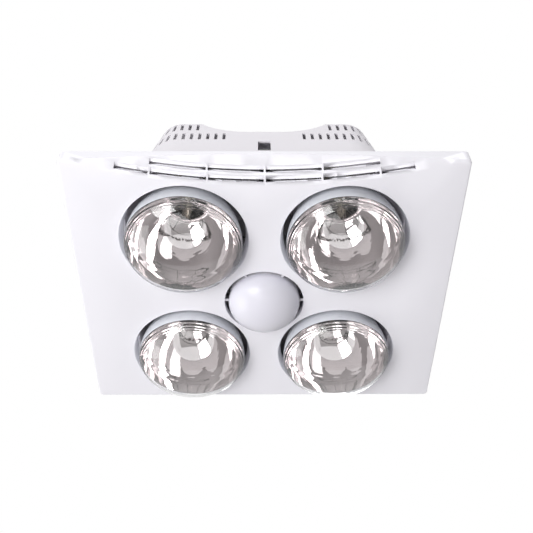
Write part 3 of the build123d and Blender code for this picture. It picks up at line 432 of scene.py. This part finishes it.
def make_moulded():
    """Moulded plastic: faint flow marks, fine grain and a little uneven gloss."""
    tree, source, result = effect(
        "moulded",
        {
            "Color": (0.8, 0.8, 0.8, 1),
            "Variation": 0.03,
            "Roughness": 0.4,
            "Grain Scale": 1500.0,
        },
        ("Color", "Roughness", "Height"),
    )
    vector = source.outputs["Vector"]
    flow = noise(tree, vector, scale=9.0, detail=3)
    grain = noise(tree, vector, scale=source.outputs["Grain Scale"], detail=2)
    shade(tree, source, result, "Variation", flow)
    half_flow = math_node(tree, "MULTIPLY", flow, 0.5)
    half_grain = math_node(tree, "MULTIPLY", grain, 0.5)
    mixed = math_node(tree, "ADD", half_flow, half_grain)
    uneven_gloss(tree, source, result, mixed, share=0.12)
    tree.links.new(grain, result.inputs["Height"])


def make_rolled():
    """Rolled or drawn metal: fine streaks along one axis and cloudy gloss."""
    tree, source, result = effect(
        "rolled",
        {
            "Color": (0.6, 0.6, 0.6, 1),
            "Variation": 0.12,
            "Roughness": 0.35,
            "Stretch": (40.0, 900.0, 900.0),
        },
        ("Color", "Roughness", "Height"),
    )
    stretch = tree.nodes.new("ShaderNodeVectorMath")
    stretch.operation = "MULTIPLY"
    tree.links.new(source.outputs["Vector"], stretch.inputs[0])
    tree.links.new(source.outputs["Stretch"], stretch.inputs[1])
    streak = noise(tree, stretch.outputs[0], scale=1.0, detail=3)
    cloud = noise(tree, source.outputs["Vector"], scale=70.0, detail=4)
    mixed = math_node(tree, "MULTIPLY", math_node(tree, "ADD", streak, cloud), 0.5)
    shade(tree, source, result, "Variation", mixed)
    uneven_gloss(tree, source, result, mixed, share=0.25)
    tree.links.new(streak, result.inputs["Height"])


def make_bands():
    """Even bands along Z or round the axis, for laminations and wound wire, with painted shade in
    each groove.
    """
    tree, source, result = effect(
        "bands",
        {"Color": (0.5, 0.5, 0.5, 1), "Pitch": 0.5 * MM, "Depth": 0.35, "Along Z": 1.0},
        ("Color", "Height"),
    )
    split = tree.nodes.new("ShaderNodeSeparateXYZ")
    tree.links.new(source.outputs["Vector"], split.inputs[0])
    along = math_node(tree, "MULTIPLY", split.outputs["Z"], source.outputs["Along Z"])
    off_axis = math_node(tree, "SUBTRACT", 1.0, source.outputs["Along Z"])
    radius = axis_distance(tree, source.outputs["Vector"])
    across = math_node(tree, "MULTIPLY", radius, off_axis)
    place = math_node(tree, "ADD", along, across)
    wave = ripple(tree, place, source.outputs["Pitch"])
    height = math_node(tree, "ADD", math_node(tree, "MULTIPLY", wave, 0.5), 0.5)
    # Painted shade: the colour darkens in the grooves between turns or sheets, by the Depth input
    # at most
    shade(tree, source, result, "Depth", height)
    tree.links.new(height, result.inputs["Height"])


def make_rings():
    """Rings round the axis that grow from an inner to an outer radius."""
    tree, source, result = effect(
        "rings", {"Pitch": 2 * MM, "Inner": 50 * MM, "Outer": 60 * MM}, ("Height",)
    )
    radius = axis_distance(tree, source.outputs["Vector"])
    wave = ripple(tree, radius, source.outputs["Pitch"])
    grow = tree.nodes.new("ShaderNodeMapRange")
    grow.interpolation_type = "SMOOTHSTEP"
    tree.links.new(radius, grow.inputs["Value"])
    tree.links.new(source.outputs["Inner"], grow.inputs["From Min"])
    tree.links.new(source.outputs["Outer"], grow.inputs["From Max"])
    height = math_node(tree, "MULTIPLY", wave, grow.outputs["Result"])
    tree.links.new(height, result.inputs["Height"])


def material(
    name, group, values, metallic=0.0, bump=0.0, roughness=None, centre=None, **constants
):
    """Material whose colour, roughness and bump come from an effect group."""
    made = bpy.data.materials.new(name)
    made.use_nodes = True
    tree = made.node_tree
    shader = tree.nodes["Principled BSDF"]
    node = tree.nodes.new("ShaderNodeGroup")
    node.node_tree = group
    tree.links.new(object_place(tree, centre), node.inputs["Vector"])
    for label, value in values.items():
        node.inputs[label].default_value = (*value, 1) if label == "Color" else value
    tree.links.new(node.outputs["Color"], shader.inputs["Base Color"])
    if "Roughness" in node.outputs:
        tree.links.new(node.outputs["Roughness"], shader.inputs["Roughness"])
    if roughness is not None:
        shader.inputs["Roughness"].default_value = roughness
    shader.inputs["Metallic"].default_value = metallic
    for label, value in constants.items():
        shader.inputs[label.replace("_", " ").title()].default_value = value
    if bump:
        grain = relief(tree, node.outputs["Height"], bump, GRAIN_DEPTH)
        tree.links.new(grain.outputs[0], shader.inputs["Normal"])
    return made


def plastic(name, base, rough, variation=0.03, grain=1500.0, bump=0.05, **constants):
    """Moulded plastic in a colour."""
    values = {"Color": base, "Variation": variation, "Roughness": rough, "Grain Scale": grain}
    group = bpy.data.node_groups["moulded"]
    return material(name, group, values, bump=bump, **constants)


def metal(name, base, rough, variation=0.12, stretch=(40, 900, 900), bump=0.04, **constants):
    """Rolled or drawn metal in a colour."""
    values = {"Color": base, "Variation": variation, "Roughness": rough, "Stretch": stretch}
    group = bpy.data.node_groups["rolled"]
    return material(name, group, values, metallic=1.0, bump=bump, **constants)


def loose_boxes(node):
    """Boxes of the separate solids of a CAD node, sorted by place."""
    merged_copy(node)
    bpy.ops.mesh.separate(type="LOOSE")
    bpy.ops.object.mode_set(mode="OBJECT")
    boxes = []
    for part in list(bpy.context.selected_objects):
        points = [vertex.co for vertex in part.data.vertices]
        low = Vector([min(point[axis] for point in points) for axis in range(3)])
        high = Vector([max(point[axis] for point in points) for axis in range(3)])
        boxes.append((low, high))
        bpy.data.objects.remove(part)
    return sorted(boxes, key=lambda pair: tuple(round(value, 4) for value in pair[0]))


# Pieces

class HEATER_OT_effects(bpy.types.Operator):
    """Build the shared surface effects"""

    bl_idname = "heater.effects"
    bl_label = "Surface effects"

    def execute(self, context):
        make_moulded()
        make_rolled()
        make_bands()
        make_rings()
        return {"FINISHED"}


class HEATER_OT_fascia(bpy.types.Operator):
    """Round the fascia's openings and finish it and its latches"""

    bl_idname = "heater.fascia"
    bl_label = "Fascia"

    # Ranges of radius that hold the front edges of the lamps' and the light's openings
    rims = ((68 * MM, 69.5 * MM), (40 * MM, 45.5 * MM))
    level_error = 0.05 * MM
    radius_error = 0.2 * MM
    louvre_half_length = 152 * MM

    def execute(self, context):
        colours = context.scene.heater_colours
        white = plastic(
            "fascia_plastic", colours.fascia, rough=0.33,
            variation=0.012, bump=0.02, coat_weight=0.15,
        )
        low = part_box("fascia")[0].z
        centres = [middle(f"lamp_{place}_glass") for place in PLACES] + [middle("light_diffuser")]
        shell = merged_copy("fascia")

        def on_rim(edge):
            """True for the front edges of the round openings."""
            ends = [shell.data.vertices[index].co for index in edge.vertices]
            if any(abs(end.z - low) > self.level_error for end in ends):
                return False
            for centre in centres:
                radii = [math.hypot(end.x - centre.x, end.y - centre.y) for end in ends]
                if abs(radii[0] - radii[1]) < self.radius_error:
                    if any(inner < radii[0] < outer for inner, outer in self.rims):
                        return True
            return False

        choose(shell, "edges", on_rim)
        bpy.ops.mesh.bevel(offset=context.scene.heater_sizes.edge, segments=3, affect="EDGES")
        bpy.ops.mesh.select_all(action="DESELECT")
        bpy.ops.mesh.edges_select_sharp(sharpness=math.radians(8))
        bpy.ops.object.mode_set(mode="OBJECT")
        louvre = centres[0].y - self.rims[0][1]
        for edge in shell.data.edges:
            ends = [shell.data.vertices[index].co for index in edge.vertices]
            edge.select = edge.select and all(
                abs(end.x) < self.louvre_half_length and end.y < louvre for end in ends
            )
        bpy.ops.object.mode_set(mode="EDIT")
        bpy.ops.mesh.mark_sharp()
        bpy.ops.object.mode_set(mode="OBJECT")
        finish_piece(
            shell, "fascia_shell", "fascia", white, ("fascia",), sharp=28
        )
        # Painted shade: the latches are coloured near black so that the square windows they sit
        # behind look shaded
        painted_shade_latch = plastic("latch_nylon", colours.dark, rough=0.45, variation=0.2)
        dress(painted_shade_latch, "fascia_latches")
        return {"FINISHED"}


class HEATER_OT_housing(bpy.types.Operator):
    """Finish the housing's fine matt moulding"""

    bl_idname = "heater.housing"
    bl_label = "Housing"

    def execute(self, context):
        base = context.scene.heater_colours.housing
        white = plastic("housing_plastic", base, rough=0.55, variation=0.03, grain=900.0, bump=0.15)
        dress(white, "housing", sharp=25)
        return {"FINISHED"}


def rim_rings(made, axis, pitch, inner, outer, strength):
    """Faint rings near a lamp's rim, laid over a material's own relief."""
    tree = made.node_tree
    normal = tree.nodes["Principled BSDF"].inputs["Normal"]
    rings = tree.nodes.new("ShaderNodeGroup")
    rings.node_tree = bpy.data.node_groups["rings"]
    tree.links.new(object_place(tree, (axis.x, axis.y, 0)), rings.inputs["Vector"])
    for label, value in (("Pitch", pitch), ("Inner", inner), ("Outer", outer)):
        rings.inputs[label].default_value = value
    ridges = relief(tree, rings.outputs["Height"], strength, RING_DEPTH)
    tree.links.new(normal.links[0].from_socket, ridges.inputs["Normal"])
    tree.links.new(ridges.outputs[0], normal)


def clear_glass(name):
    """Clear blown glass."""
    made = bpy.data.materials.new(name)
    made.use_nodes = True
    tree = made.node_tree
    shader = tree.nodes["Principled BSDF"]
    shader.inputs["Metallic"].default_value = 0
    shader.inputs["Transmission Weight"].default_value = 1
    shader.inputs["IOR"].default_value = 1.47
    wave = noise(tree, object_place(tree), scale=26.0, detail=1)
    tree.links.new(ranged(tree, wave, 0.0, 0.02), shader.inputs["Roughness"])
    tint = tree.nodes.new("ShaderNodeMix")
    tint.data_type = "RGBA"
    tint.inputs["A"].default_value = (0.97, 0.975, 0.98, 1)
    tint.inputs["B"].default_value = (0.99, 0.99, 0.985, 1)
    tree.links.new(wave, tint.inputs["Factor"])
    tree.links.new(tint.outputs["Result"], shader.inputs["Base Color"])
    waves = relief(tree, wave, 0.25, GLASS_WAVE_DEPTH)
    tree.links.new(waves.outputs[0], shader.inputs["Normal"])
    return made


class HEATER_OT_lamps(bpy.types.Operator):
    """Build the heat lamps' filaments, stems and threaded caps and finish their glass"""

    bl_idname = "heater.lamps"
    bl_label = "Heat lamps"

    # Inner radius, outer radius and strength
    bowl_rings = (56 * MM, 61 * MM, 0.15)
    glass_rings = (54 * MM, 61 * MM, 0.3)

    def coil(self, sizes, low, high):
        """Ring filament of small turns on its lead and support wires."""
        thickness_share = 0.3
        lean = math.radians(68)
        hook_share = 0.7
        reach = sizes.coil_radius * (1 + thickness_share)
        ring = (high.x - low.x) / 2 - reach
        turn = start(
            bpy.ops.mesh.primitive_torus_add,
            major_segments=8, minor_segments=4,
            major_radius=sizes.coil_radius, minor_radius=reach - sizes.coil_radius,
            location=(ring, 0, 0), rotation=(lean, 0, 0),
        )
        seat(turn)
        turns = [turn]
        for index in range(1, sizes.coil_turns):
            other = duplicate(turn)
            other.data.transform(Matrix.Rotation(2 * math.pi * index / sizes.coil_turns, 4, "Z"))
            turns.append(other)
        drop = high.z - sizes.stem_length - low.z - reach
        inner = 4 * sizes.wire
        hook = 2 * sizes.wire
        for index in range(sizes.wire_count):
            wire = start(
                bpy.ops.mesh.primitive_cylinder_add,
                vertices=8, radius=sizes.wire, depth=drop,
                location=(inner, 0, drop / 2 + sizes.wire),
            )
            seat(wire)
            edit(wire)
            choose(wire, "polygons", faces_down)
            bpy.ops.transform.translate(value=(ring - inner, 0, 0))
            push(-hook, hook_share)
            close()
            wire.data.transform(Matrix.Rotation(2 * math.pi * index / sizes.wire_count, 4, "Z"))
            turns.append(wire)
        made = joined(turns)
        centre = (low + high) / 2
        made.data.transform(Matrix.Translation((centre.x, centre.y, low.z + reach)))
        return made

    def stem(self, sizes, low, high):
        """Glass stem, flared where it joins the neck and pinched round the wires."""
        radius, flare, pinch, lip = 4.6 * MM, 10 * MM, 4 * MM, 0.6 * MM
        bottom = high.z - sizes.stem_length + pinch + lip
        depth = high.z - flare - bottom
        made = start(
            bpy.ops.mesh.primitive_cylinder_add,
            vertices=36, radius=radius, depth=depth,
            location=((low.x + high.x) / 2, (low.y + high.y) / 2, bottom + depth / 2),
        )
        seat(made)
        edit(made)
        choose(made, "polygons", faces_up)
        push(0.6 * flare, 1.6)
        push(0.4 * flare, 1.85)
        choose(made, "polygons", faces_down)
        push(-pinch, 1.15, 0.35)
        push(-lip, 0.9, 0.8)
        close()
        return made

    def cap(self, sizes, node):
        """Rolled screw cap with its thread, insulator shoulder and end contact."""
        low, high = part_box(node)
        centre = (low + high) / 2
        shell_radius, shell_start, shell_height = 13.2 * MM, 4.5 * MM, 20 * MM
        shoulder, contact_inset, skirt_step, skirt = 4 * MM, 3 * MM, 0.5 * MM, 4 * MM
        skirt_wall, skirt_depth, thread_start = 0.9 * MM, 4.6 * MM, 6.5 * MM
        shell_middle = shell_start + shell_height / 2
        made = start(
            bpy.ops.mesh.primitive_cylinder_add,
            vertices=48, radius=shell_radius - 0.7 * sizes.thread_depth, depth=shell_height,
            location=(0, 0, low.z + shell_middle),
        )
        seat(made)
        edit(made)
        choose(made, "polygons", faces_up)
        push(shoulder, 0.66)
        bpy.ops.mesh.inset(thickness=contact_inset)
        push(high.z - low.z - shell_start - shell_height - shoulder)
        choose(made, "polygons", faces_down)
        push(-skirt_step, 1.27)
        push(-skirt)
        bpy.ops.mesh.inset(thickness=skirt_wall)
        push(skirt_depth)
        close()
        thread = start(
            bpy.ops.mesh.primitive_circle_add,
            vertices=10, radius=sizes.thread_depth, rotation=(math.pi / 2, 0, 0),
            location=(shell_radius - sizes.thread_depth, 0, low.z + thread_start),
        )
        seat(thread)
        apply(
            thread, "SCREW",
            steps=36, render_steps=36, iterations=4, screw_offset=sizes.thread_pitch,
            axis="Z", use_merge_vertices=True,
        )
        made = joined([made, thread])
        made.data.transform(Matrix.Translation((centre.x, centre.y, 0)))
        return made

    def execute(self, context):
        colours = context.scene.heater_colours
        sizes = context.scene.heater_sizes
        satin = metal(
            "bowl_satin", colours.band, rough=0.30, variation=0.08, stretch=(30, 30, 400), bump=0.02
        )
        satin.node_tree.nodes["Principled BSDF"].inputs["Metallic"].default_value = 0.2
        cap_metal = metal(
            "cap_brass", colours.cap, rough=0.3, variation=0.2, stretch=(500, 500, 60)
        )
        wire = metal("tungsten_wire", colours.tungsten, rough=0.4)
        stem_glass = clear_glass("stem_glass")
        for place in PLACES:
            lamp = f"lamp_{place}"
            bowl = NODES[f"{lamp}_bowl"]
            axis = middle(f"{lamp}_bowl")
            mirror = metal(
                f"bowl_mirror_{place}", colours.silver, rough=0.03,
                variation=0.10, stretch=(60, 60, 60), bump=0.22,
            )
            rim_rings(mirror, axis, sizes.ring_pitch, *self.bowl_rings)
            dress(mirror, f"{lamp}_bowl", sharp=40)
            bowl.data.materials.append(satin)
            for face in bowl.data.polygons:
                radial = face.center - axis
                outward = radial.x * face.normal.x + radial.y * face.normal.y
                face.material_index = 1 if outward > 0 else 0
            glass = clear_glass(f"lamp_glass_{place}")
            rim_rings(glass, axis, sizes.ring_pitch, *self.glass_rings)
            dress(glass, f"{lamp}_glass", sharp=60)
            node = f"{lamp}_filament"
            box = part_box(node)
            coil = self.coil(sizes, *box)
            finish_piece(coil, f"{lamp}_filament_coil", node, wire, (node,))
            stem = self.stem(sizes, *box)
            finish_piece(stem, f"{lamp}_glass_stem", node, stem_glass, sharp=50)
            node = f"{lamp}_cap"
            cap = self.cap(sizes, node)
            finish_piece(cap, f"{lamp}_threaded_cap", node, cap_metal, (node,))
        return {"FINISHED"}


class HEATER_OT_lampholders(bpy.types.Operator):
    """Finish the ceramic lampholders, their brass shells and their rails"""

    bl_idname = "heater.lampholders"
    bl_label = "Lampholders"

    def execute(self, context):
        colours = context.scene.heater_colours
        glazed = plastic(
            "holder_ceramic", colours.ceramic, rough=0.25,
            variation=0.08, grain=400.0, coat_weight=0.4,
        )
        dress(glazed, *[f"lampholder_{place}" for place in PLACES])
        brass = metal("shell_brass", colours.brass, rough=0.28)
        dress(brass, "lampholder_shells", "lampholder_contacts")
        zinc = metal("rail_zinc", colours.zinc, rough=0.36, variation=0.18, stretch=(900, 40, 900))
        dress(zinc, "lampholder_rail_left", "lampholder_rail_right")
        return {"FINISHED"}


class HEATER_OT_light(bpy.types.Operator):
    """Finish the opal diffuser and the light engine behind it"""

    bl_idname = "heater.light"
    bl_label = "Light"

    def execute(self, context):
        colours = context.scene.heater_colours
        opal = plastic(
            "opal_diffuser", colours.opal, rough=0.12, variation=0.02, bump=0.01,
            subsurface_weight=0.5, subsurface_scale=0.003, subsurface_radius=(1, 1, 1),
        )
        opal.node_tree.nodes["Principled BSDF"].inputs["Specular IOR Level"].default_value = 0.3
        dress(opal, "light_diffuser", sharp=40)
        dress(metal("tray_aluminium", colours.aluminium, rough=0.38, variation=0.1), "light_tray")
        dress(plastic("board_white", colours.board, rough=0.35), "light_board")
        dress(plastic("phosphor", colours.phosphor, rough=0.3), "light_emitters")
        return {"FINISHED"}


class HEATER_OT_fan(bpy.types.Operator):
    """Finish the scroll, its cover, the spacers and the impeller"""

    bl_idname = "heater.fan"
    bl_label = "Fan"

    def execute(self, context):
        colours = context.scene.heater_colours
        grey = plastic("scroll_plastic", colours.fan, rough=0.5, variation=0.08, bump=0.12)
        dress(grey, "fan_scroll", "fan_scroll_cover")
        light_grey = plastic("impeller_plastic", colours.impeller, rough=0.45, variation=0.05)
        dress(light_grey, "fan_impeller")
        dress(metal("spacer_zinc", colours.zinc, rough=0.3, stretch=(900, 900, 60)), "fan_spacers")
        return {"FINISHED"}


class HEATER_OT_motor(bpy.types.Operator):
    """Round the motor's coils and finish its metals"""

    bl_idname = "heater.motor"
    bl_label = "Fan motor"

    coil_edge = 1.3 * MM
    wire_pitch = 0.6 * MM
    sheet_pitch = 1 * MM

    def execute(self, context):
        colours = context.scene.heater_colours
        bands = bpy.data.node_groups["bands"]
        axis = middle("motor_shaft")
        # The winding's Depth value sets the painted shade in the grooves between the wire turns
        copper = material(
            "copper_winding", bands,
            {"Color": colours.copper, "Pitch": self.wire_pitch, "Depth": 0.5, "Along Z": 0.0},
            metallic=0.8, bump=0.6, roughness=0.35, centre=(axis.x, axis.y, 0),
        )
        node = "motor_windings"
        coils = merged_copy(node)
        bpy.ops.mesh.dissolve_limited(angle_limit=math.radians(1))
        bpy.ops.object.mode_set(mode="OBJECT")
        apply(
            coils, "BEVEL",
            width=self.coil_edge, segments=3, limit_method="ANGLE", angle_limit=math.radians(50),
        )
        finish_piece(coils, "motor_wound_coils", node, copper, (node,), sharp=50)
        # The stack's Depth value sets the painted shade in the grooves between the sheets
        stack = material(
            "stator_laminations", bands,
            {"Color": colours.lamination, "Pitch": self.sheet_pitch, "Depth": 0.4, "Along Z": 1.0},
            metallic=0.9, bump=0.5, roughness=0.42,
        )
        dress(stack, "motor_stack")
        dress(metal("rotor_metal", colours.rotor, rough=0.35), "motor_rotor")
        steel = metal("ground_steel", colours.steel, rough=0.2, stretch=(900, 900, 50))
        dress(steel, "motor_shaft", "motor_studs", "duct_flap_pin")
        sheet = metal("bracket_zinc", colours.zinc, rough=0.34, variation=0.2)
        dress(sheet, "motor_lower_bracket", "motor_upper_bracket")
        dress(metal("nut_zinc", colours.zinc, rough=0.3), "motor_nuts")
        dress(metal("bearing_bronze", colours.bronze, rough=0.5, variation=0.3), "motor_bearings")
        rubber = plastic("grommet_rubber", colours.dark, rough=0.75, variation=0.3, bump=0.2)
        dress(rubber, "motor_grommets")
        return {"FINISHED"}


class HEATER_OT_duct(bpy.types.Operator):
    """Finish the duct spigot and its flaps"""

    bl_idname = "heater.duct"
    bl_label = "Duct spigot"

    def execute(self, context):
        colours = context.scene.heater_colours
        grey = plastic("spigot_plastic", colours.fan, rough=0.5, variation=0.08, bump=0.12)
        dress(grey, "duct_spigot")
        light_grey = plastic("flap_plastic", colours.flap, rough=0.45, variation=0.05)
        dress(light_grey, "duct_flap_left", "duct_flap_right")
        return {"FINISHED"}


class HEATER_OT_terminals(bpy.types.Operator):
    """Build the terminal screws and finish the terminal box, gland, driver and cut-out"""

    bl_idname = "heater.terminals"
    bl_label = "Terminals"

    def execute(self, context):
        colours = context.scene.heater_colours
        box = plastic("terminal_plastic", colours.box, rough=0.5, grain=900.0, bump=0.12)
        dress(box, "terminal_box", "terminal_box_lid")
        dress(plastic("block_nylon", colours.block, rough=0.35, variation=0.05), "terminal_block")
        dress(plastic("gland_plastic", colours.gland, rough=0.42, variation=0.1), "cable_gland")
        case = plastic("driver_plastic", colours.driver, rough=0.5, grain=900.0, bump=0.12)
        dress(case, "light_driver")
        dress(plastic("cutout_phenolic", colours.dark, rough=0.4, variation=0.3), "thermal_cutout")
        low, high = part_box("terminal_block")
        count = 4
        pitch = (high.x - low.x) / count
        radius, height, edge = 1.85 * MM, 2.6 * MM, 0.3 * MM
        slot_length, slot_width, slot_height = 4 * MM, 0.6 * MM, 1.6 * MM
        first_turn, turn = 20, 35
        screws = []
        for index in range(count):
            x, y = low.x + (index + 0.5) * pitch, (low.y + high.y) / 2
            one = start(
                bpy.ops.mesh.primitive_cylinder_add,
                vertices=24, radius=radius, depth=height, location=(x, y, high.z - height),
            )
            seat(one)
            edit(one)
            choose(one, "polygons", faces_up)
            bpy.ops.mesh.bevel(offset=edge, segments=2, affect="EDGES")
            close()
            slot = start(
                bpy.ops.mesh.primitive_cube_add,
                size=1, scale=(slot_length, slot_width, slot_height),
                location=(x, y, high.z - height / 2),
                rotation=(0, 0, math.radians(first_turn + turn * index)),
            )
            seat(slot)
            apply(one, "BOOLEAN", operation="DIFFERENCE", object=slot, solver="EXACT")
            bpy.data.objects.remove(slot)
            screws.append(one)
        brass = metal("terminal_brass", colours.brass, rough=0.3)
        finish_piece(joined(screws), "terminal_screws", "terminal_block", brass)
        return {"FINISHED"}


class HEATER_OT_screws(bpy.types.Operator):
    """Build cross-recessed screws in place of the plain ones"""

    bl_idname = "heater.screws"
    bl_label = "Screws"

    head_radius = 2.9 * MM
    head_share = 0.62
    head_height = 1.8 * MM
    turn = 0.7

    def pattern(self, sizes):
        """One screw on the origin, its head upwards on z = 0."""
        recess_length, recess_height, recess_middle = 3.4 * MM, 1.6 * MM, 1.7 * MM
        tip_radius, shaft_radius, length, tip = 0.5 * MM, 1.4 * MM, 7 * MM, 1.2 * MM
        head = start(
            bpy.ops.mesh.primitive_uv_sphere_add,
            segments=28, ring_count=14, radius=self.head_radius,
        )
        edit(head)
        bpy.ops.mesh.select_all(action="SELECT")
        bpy.ops.mesh.bisect(
            plane_co=(0, 0, 0), plane_no=(0, 0, 1), clear_inner=True, use_fill=True
        )
        bpy.ops.mesh.select_all(action="SELECT")
        bpy.ops.transform.resize(value=(1, 1, self.head_share), center_override=(0, 0, 0))
        close()
        for turn in (0, math.pi / 2):
            cut = start(
                bpy.ops.mesh.primitive_cube_add,
                size=1, scale=(recess_length, sizes.recess, recess_height),
                location=(0, 0, recess_middle), rotation=(0, 0, turn),
            )
            seat(cut)
            apply(head, "BOOLEAN", operation="DIFFERENCE", object=cut, solver="EXACT")
            bpy.data.objects.remove(cut)
        shaft = start(
            bpy.ops.mesh.primitive_cone_add,
            vertices=16, radius1=tip_radius, radius2=shaft_radius, depth=length,
            location=(0, 0, -length / 2),
        )
        seat(shaft)
        edit(shaft)
        choose(shaft, "polygons", faces_down)
        bpy.ops.transform.translate(value=(0, 0, tip))
        push(-tip, 0.2)
        close()
        return joined([head, shaft])

    def execute(self, context):
        sizes = context.scene.heater_sizes
        zinc = metal("screw_zinc", context.scene.heater_colours.zinc, rough=0.25)
        one = self.pattern(sizes)
        nodes = ("roof_screws", "terminal_box_screws", "light_tray_screws", "duct_spigot_screws")
        for node in nodes:
            copies = []
            for low, high in loose_boxes(node):
                place = (low + high) / 2
                other = duplicate(one)
                other.data.transform(Matrix.Rotation(self.turn * len(copies), 4, "Z"))
                if node == "duct_spigot_screws":
                    other.data.transform(Matrix.Rotation(-math.pi / 2, 4, "X"))
                    place.y = high.y - self.head_height
                else:
                    place.z = high.z - self.head_height
                other.data.transform(Matrix.Translation(place))
                copies.append(other)
            finish_piece(joined(copies), f"{node}_crossed", node, zinc, (node,))
        bpy.data.objects.remove(one)
        return {"FINISHED"}


class HEATER_OT_stage(bpy.types.Operator):
    """Add the floor, the soft lights, the white surroundings and the camera"""

    bl_idname = "heater.stage"
    bl_label = "Stage"

    unit = (0, 0, 0)
    # Place, width and aim of the light that each setting drives
    lights = {
        "key": ((-0.75, -0.95, -0.95), 0.75, unit),
        "side": ((-1.30, 0.35, -0.85), 1.0, unit),
        "front": ((-0.30, -0.45, -1.20), 0.5, unit),
        "back": ((0.50, 1.50, 1.10), 1.0, unit),
        "rim": ((0.05, -1.60, 0.95), 1.0, unit),
        "floor_power": ((1.40, -0.20, 0.10), 1.0, (1.40, -0.20, -1.0)),
    }
    camera_place = (-5.876 * MM, -602.57 * MM, -689.15 * MM)
    sensor = 36

    def lamp(self, name, place, size, aim, watts):
        """Square soft light that faces a point."""
        data = bpy.data.lights.new(name, "AREA")
        data.shape = "SQUARE"
        data.size = size
        data.energy = watts
        light = bpy.data.objects.new(name, data)
        bpy.context.scene.collection.objects.link(light)
        light.location = place
        light.rotation_euler = (Vector(aim) - Vector(place)).to_track_quat("-Z", "Y").to_euler()

    def execute(self, context):
        scene = context.scene
        setup = scene.heater_stage
        self.floor(setup, scene.heater_colours.floor)
        for setting, (place, size, aim) in self.lights.items():
            name = f"{setting.removesuffix('_power')}_light"
            self.lamp(name, place, size, aim, getattr(setup, setting))
        self.surroundings(scene, setup)
        self.camera(scene, setup)
        scene.view_settings.view_transform = "Standard"
        return {"FINISHED"}

    def floor(self, setup, base):
        """Square floor that looks paler to the camera and keeps its shadow."""
        floor = start(
            bpy.ops.mesh.primitive_plane_add,
            size=setup.floor_size, location=(0, 0, -setup.floor_drop),
        )
        floor.name = "floor"
        seat(floor)
        paint = plastic("floor_paint", base, rough=0.9, bump=0.0, emission_color=(1, 1, 1, 1))
        tree = paint.node_tree
        path = tree.nodes.new("ShaderNodeLightPath")
        pale = math_node(tree, "MULTIPLY", path.outputs["Is Camera Ray"], setup.floor_glow)
        tree.links.new(pale, tree.nodes["Principled BSDF"].inputs["Emission Strength"])
        floor.data.materials.append(paint)

    def surroundings(self, scene, setup):
        """White world as the camera, gloss and glass see it, and a dimmer one as a light."""
        world = scene.world or bpy.data.worlds.new("surroundings")
        scene.world = world
        world.use_nodes = True
        tree = world.node_tree
        tree.nodes.clear()
        path = tree.nodes.new("ShaderNodeLightPath")
        seen = math_node(tree, "ADD", path.outputs["Is Camera Ray"], path.outputs["Is Glossy Ray"])
        seen = math_node(tree, "ADD", seen, path.outputs["Is Transmission Ray"])
        seen = math_node(tree, "MINIMUM", seen, 1.0)
        light = tree.nodes.new("ShaderNodeBackground")
        tree.links.new(ranged(tree, seen, setup.world, 1.0), light.inputs["Strength"])
        light.inputs["Color"].default_value = (1, 1, 1, 1)
        output = tree.nodes.new("ShaderNodeOutputWorld")
        tree.links.new(light.outputs[0], output.inputs["Surface"])

    def camera(self, scene, setup):
        """Camera at the photo's place and angle."""
        data = bpy.data.cameras.new("camera")
        data.lens = setup.lens
        data.sensor_width = self.sensor
        data.clip_start = 10 * MM
        camera = bpy.data.objects.new("camera", data)
        scene.collection.objects.link(camera)
        level = Vector((math.sin(setup.yaw), math.cos(setup.yaw), 0))
        ahead = level * math.cos(setup.pitch) + Vector((0, 0, 1)) * math.sin(setup.pitch)
        right = Vector((math.cos(setup.yaw), -math.sin(setup.yaw), 0))
        up = right.cross(ahead)
        rolled_right = right * math.cos(setup.roll) + up * math.sin(setup.roll)
        rolled_up = up * math.cos(setup.roll) - right * math.sin(setup.roll)
        turn = Matrix((rolled_right, rolled_up, -ahead)).transposed()
        camera.matrix_world = Matrix.Translation(self.camera_place) @ turn.to_4x4()
        scene.camera = camera


class HEATER_PT_panel(bpy.types.Panel):
    """Sizes, colours and steps of the heater"""

    bl_idname = "HEATER_PT_panel"
    bl_label = "Bathroom ceiling heater"
    bl_space_type = "VIEW_3D"
    bl_region_type = "UI"
    bl_category = "Heater"

    def draw(self, context):
        layout = self.layout
        for name in GROUPS:
            group = getattr(context.scene, name)
            box = layout.box()
            for key in group.__annotations__:
                box.prop(group, key)
        for step in STEPS:
            layout.operator(step.bl_idname)


GROUPS = {
    "heater_colours": HeaterColours,
    "heater_sizes": HeaterSizes,
    "heater_stage": HeaterStage,
}
STEPS = (
    HEATER_OT_effects,
    HEATER_OT_stage,
    HEATER_OT_fascia,
    HEATER_OT_housing,
    HEATER_OT_lamps,
    HEATER_OT_lampholders,
    HEATER_OT_light,
    HEATER_OT_fan,
    HEATER_OT_motor,
    HEATER_OT_duct,
    HEATER_OT_terminals,
    HEATER_OT_screws,
)


def register():
    """Registers the settings, the steps and the panel."""
    for key, group in GROUPS.items():
        bpy.utils.register_class(group)
        setattr(bpy.types.Scene, key, PointerProperty(type=group))
    for step in (*STEPS, HEATER_PT_panel):
        bpy.utils.register_class(step)


def unregister():
    """Removes what register added."""
    for step in (HEATER_PT_panel, *reversed(STEPS)):
        bpy.utils.unregister_class(step)
    for key, group in GROUPS.items():
        delattr(bpy.types.Scene, key)
        bpy.utils.unregister_class(group)


def main():
    """Runs every step in order."""
    register()
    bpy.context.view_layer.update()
    bpy.ops.heater.effects()
    bpy.ops.heater.stage()
    bpy.ops.heater.fascia()
    bpy.ops.heater.housing()
    bpy.ops.heater.lamps()
    bpy.ops.heater.lampholders()
    bpy.ops.heater.light()
    bpy.ops.heater.fan()
    bpy.ops.heater.motor()
    bpy.ops.heater.duct()
    bpy.ops.heater.terminals()
    bpy.ops.heater.screws()


if __name__ == "__main__":
    main()
